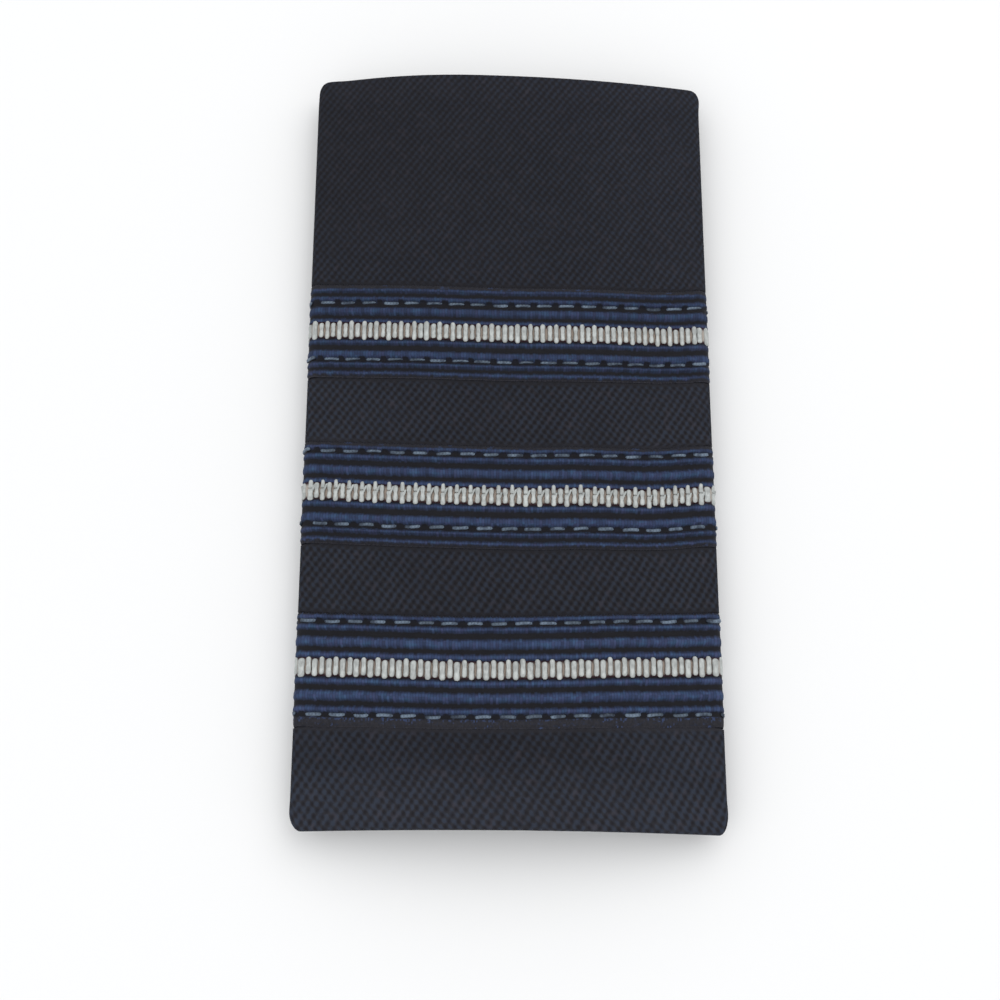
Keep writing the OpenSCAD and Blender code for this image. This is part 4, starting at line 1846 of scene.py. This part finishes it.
@dataclass(frozen=True)
class Stitching:
    """The two rows of running stitch that hold a braid, with their underside inside the sleeve.

    Args:
        name: The piece's name.
        braid: The braid that they hold.
        length: Length of a stitch.
        width: Width of the thread.
        height: Height of the thread.
        bedded: How deep a stitch lies in the braid.
        inside: Height of the underside's stitches over the cloth's outer face.
        end_gap: Distance from the back seam to the last stitch, at least.
        uneven: How much its sizes may differ, as a share.
        seeds: Seeds of the stitches' places and of their sizes, to which the braid's index is added.
    """

    name: str
    braid: Braid
    length: float = 2.06
    width: float = 0.54
    height: float = 0.30
    bedded: float = 0.08
    inside: float = -0.86
    end_gap: float = 1.6
    uneven: float = 0.07
    seeds: tuple[int, int] = (31, 3)

    @staticmethod
    def shapes() -> bpy.types.Collection:
        """Makes the stitch shapes, one unit long and wide.

        Returns:
            Their collection, which isn't linked to the scene.
        """
        holder = bpy.data.collections.new("stitch_shapes")
        for k, bow in enumerate((0.0, 0.18, -0.15)):
            rings = []
            for y, end, dip in ((-0.5, 0.55, -0.9), (-0.46, 0.85, -0.40), (-0.34, 1.0, -0.06),
                                (-0.1, 0.94, 0.0), (0.1, 0.98, 0.0), (0.34, 1.0, -0.06),
                                (0.46, 0.85, -0.40), (0.5, 0.55, -0.9)):
                lean = bow * math.cos(math.pi * y)
                rings.append((y, lean, dip, 0.5 * end, 0.5 * end))
            ThreadShape(f"stitch_{k}", (tuple(rings),), 6).build(holder)
        return holder

    def spots(self, row: StitchRow, inside: bool, rng: np.random.Generator) -> Spots:
        """Finds where the stitches of a row lie.

        Args:
            row: The row.
            inside: True for the underside, whose stitches lie between those outside.
            rng: Source of the small differences.

        Returns:
            The points.
        """
        form, braid = self.braid.form, self.braid
        limit = form.seam_girth - self.end_gap
        girth = row.girths(limit) + (row.pitch / 2 if inside else 0.0)
        girth = girth[np.abs(girth) < limit]
        girth = girth + rng.normal(0, 0.06, len(girth))
        w = row.across + rng.normal(0, 0.04, len(girth))
        v = braid.along(girth, w)
        top = float(braid.relief.height(np.array(row.across))) - self.bedded
        lift = np.full_like(girth, self.inside) if inside else braid.squeezed(girth, top)
        at = form.points(girth, v, lift)
        round_it, along, out = form.directions(girth, v)
        slant = np.tan(np.radians(rng.normal(2.0, 2.2, len(girth))))[:, None]
        run = round_it + along * slant
        shape = rng.integers(0, 3, len(girth))
        return Spots(at, -out if inside else out, run, shape, np.ones((len(girth), 3)))

    def build(
        self, rows: ThreadRow, shapes: bpy.types.Collection, material: bpy.types.Material
    ) -> bpy.types.Object:
        """Lays the stitches.

        Args:
            rows: The tree that lays thread.
            shapes: The stitch shapes.
            material: The sewing thread.

        Returns:
            The piece.
        """
        rng = np.random.default_rng(self.seeds[0] + self.braid.index)
        sizes = (self.length, self.width, self.height)
        groups = [
            self.spots(row, inside, rng) for inside in (False, True) for row in self.braid.stitches
        ]
        whole = Spots(*(np.concatenate([getattr(s, key) for s in groups])
                        for key in ("at", "out", "run", "shape", "size")))
        seed = self.seeds[1] + self.braid.index
        return rows.lay(self.name, whole, shapes, sizes, self.uneven, seed, material)


@dataclass(frozen=True)
class Studio:
    """Pale floor, soft light and the camera.

    Args:
        tilt: Degrees by which the camera leans from straight down.
        eye: The camera's place in millimetres.
        focal: Focal length in pixels of the square picture.
        centre_x: Where the camera's axis meets the picture, in pixels.
        picture: Width of the picture in pixels.
    """

    tilt: float = 18.0
    eye: tuple[float, float, float] = (0.0, -69.91, 191.10)
    focal: float = 1585.0
    centre_x: float = 508.5
    picture: float = 1000.0

    def build(self) -> None:
        """Makes the floor, the lights and the camera."""
        self.floor()
        self.light("key", (0.28, 0.30, 0.70), 0.80, 1.9)
        self.light("fill", (-0.30, -0.35, 0.65), 0.90, 1.3)
        world = bpy.data.worlds.new("studio")
        world.use_nodes = True
        back = world.node_tree.nodes["Background"]
        back.inputs["Color"].default_value = (0.98, 0.99, 1.0, 1.0)
        back.inputs["Strength"].default_value = 0.84
        bpy.context.scene.world = world
        bpy.context.scene.view_settings.view_transform = "Standard"
        self.camera()

    def floor(self) -> None:
        """Makes the plain pale floor."""
        mesh = bpy.data.meshes.new("floor")
        r = 40.0
        mesh.from_pydata([(-r, -r, 0), (r, -r, 0), (r, r, 0), (-r, r, 0)], [], [(0, 1, 2, 3)])
        material = bpy.data.materials.new("floor")
        material.use_nodes = True
        shader = material.node_tree.nodes["Principled BSDF"]
        shader.inputs["Base Color"].default_value = (0.88, 0.88, 0.88, 1.0)
        shader.inputs["Roughness"].default_value = 0.9
        shader.inputs["Specular IOR Level"].default_value = 0.1
        make_piece("floor", mesh, material)

    @staticmethod
    def light(name: str, at: tuple[float, float, float], size: float, power: float) -> None:
        """Hangs a square soft light that faces the slide.

        Args:
            name: Its name.
            at: Its place in metres.
            size: Its side in metres.
            power: Its power in watts.
        """
        lamp = bpy.data.lights.new(name, "AREA")
        lamp.shape = "SQUARE"
        lamp.size = size
        lamp.energy = power
        hung = bpy.data.objects.new(name, lamp)
        hung.location = at
        x, y, z = at
        hung.rotation_euler = Euler((math.atan2(math.hypot(x, y), z), 0, math.atan2(x, -y)))
        bpy.context.scene.collection.objects.link(hung)

    def camera(self) -> None:
        """Sets the camera that looks down on the slide from its shoulder end."""
        lens = bpy.data.cameras.new("view")
        lens.sensor_width = 36.0
        lens.lens = self.focal / self.picture * lens.sensor_width
        lens.shift_x = (self.picture / 2 - self.centre_x) / self.picture
        lens.clip_start, lens.clip_end = 0.01, 20.0
        eye = bpy.data.objects.new("view", lens)
        eye.location = [c * MM for c in self.eye]
        eye.rotation_euler = Euler((math.radians(self.tilt), 0, 0))
        bpy.context.scene.collection.objects.link(eye)
        bpy.context.scene.camera = eye


def braids(form: SleeveForm) -> tuple[Braid, Braid, Braid]:
    """Lists the braids from the shoulder end.

    Args:
        form: The pressed tube.

    Returns:
        The lower, middle and upper braid.
    """
    lower = BraidRelief(
        form.braid_edges[0], 0.035,
        ((-6.50, 0.42, 0.34, 0.35), (-5.02, 0.32, 0.66, 1.0), (-3.37, 0.51, 0.70, 1.0),
         (-1.64, 0.31, 0.54, 1.0), (1.52, 0.31, 0.54, 1.0), (3.13, 0.51, 0.70, 1.0),
         (4.88, 0.28, 0.66, 0.95), (6.14, 0.28, 0.52, 0.92)),
        bare=(-5.95, 6.44), frayed=0.40, painted_rim_light=1.5, thinned=0.6,
    )
    middle = BraidRelief(
        form.braid_edges[1], 0.24,
        ((-5.90, 0.25, 0.52, 0.95), (-4.69, 0.23, 0.64, 0.9), (-3.14, 0.48, 0.70, 1.0),
         (-1.37, 0.29, 0.54, 0.95), (1.53, 0.30, 0.54, 1.0), (3.08, 0.48, 0.70, 1.0),
         (4.77, 0.30, 0.66, 0.95), (6.03, 0.28, 0.52, 0.85)),
        bare=(-6.06, 6.24), painted_rim_light=1.6,
    )
    upper = BraidRelief(
        form.braid_edges[2], 0.18,
        ((-5.66, 0.27, 0.52, 0.95), (-4.49, 0.26, 0.64, 0.9), (-3.15, 0.50, 0.70, 1.0),
         (-1.43, 0.28, 0.54, 0.9), (1.42, 0.29, 0.54, 0.95), (2.84, 0.46, 0.70, 0.95),
         (4.46, 0.32, 0.64, 0.9), (5.74, 0.27, 0.52, 0.85)),
        bare=(-5.87, 5.98), painted_rim_light=1.9,
    )
    # Each braid's two rows of stitches: across, girth of one stitch, pitch.
    rows = (
        (StitchRow(5.69, -12.9, 2.95), StitchRow(-5.60, -14.74, 2.94)),
        (StitchRow(5.6, -11.07, 2.97), StitchRow(-3.87, -11.88, 2.98)),
        (StitchRow(4.09, 1.79, 2.84), StitchRow(-3.68, 2.29, 2.81)),
    )
    # The last number of each braid is its painted light, more toward the shoulder end.
    return (
        Braid("lower_braid", 0, rows[0], lower, form, 1.07),
        Braid("middle_braid", 1, rows[1], middle, form, 0.98),
        Braid("upper_braid", 2, rows[2], upper, form, 0.87),
    )


def main() -> None:
    """Builds the slide piece by piece, then the studio round it."""
    logging.basicConfig(level=logging.INFO, format="%(message)s")
    form = SleeveForm()
    folded = FoldedSleeve(form)
    sleeve = folded.build(WovenCloth())
    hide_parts("sleeve")
    log.info("sleeve: %d faces", len(sleeve.data.polygons))
    rows = ThreadRow("thread_row")
    rib_shapes, stitch_shapes = SilverStripe.shapes(), Stitching.shapes()
    silver, sewing = SilverThread().material(), SewingThread().material()
    lower, middle, upper = braids(form)
    stripes = (
        SilverStripe("lower_stripe", lower, RibPattern.STEPPED, 0.87, -20.9, 2.2),
        SilverStripe("middle_stripe", middle, RibPattern.BROKEN, 0.85, -14.86),
        SilverStripe("upper_stripe", upper, RibPattern.TALL_AND_SHORT, 0.823, 6.06),
    )
    sewn = []
    for stripe in stripes:
        braid = stripe.braid
        woven = braid.build(RibbedBraid())
        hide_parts(braid.name)
        ribs = stripe.build(rows, rib_shapes, silver)
        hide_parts(stripe.name)
        name = braid.name.replace("braid", "stitching")
        thread = Stitching(name, braid).build(rows, stitch_shapes, sewing)
        sewn += [woven, ribs, thread]
        log.info("%s: %d cord faces, %d rib faces, %d stitch faces", braid.name,
                 *(len(p.data.polygons) for p in (woven, ribs, thread)))
    for piece in [sleeve, *sewn]:
        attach(piece, ROOT)
    for holder in (rib_shapes, stitch_shapes):
        for shape in list(holder.objects):
            bpy.data.objects.remove(shape)
        bpy.data.collections.remove(holder)
    Studio().build()


if __name__ == "__main__":
    main()
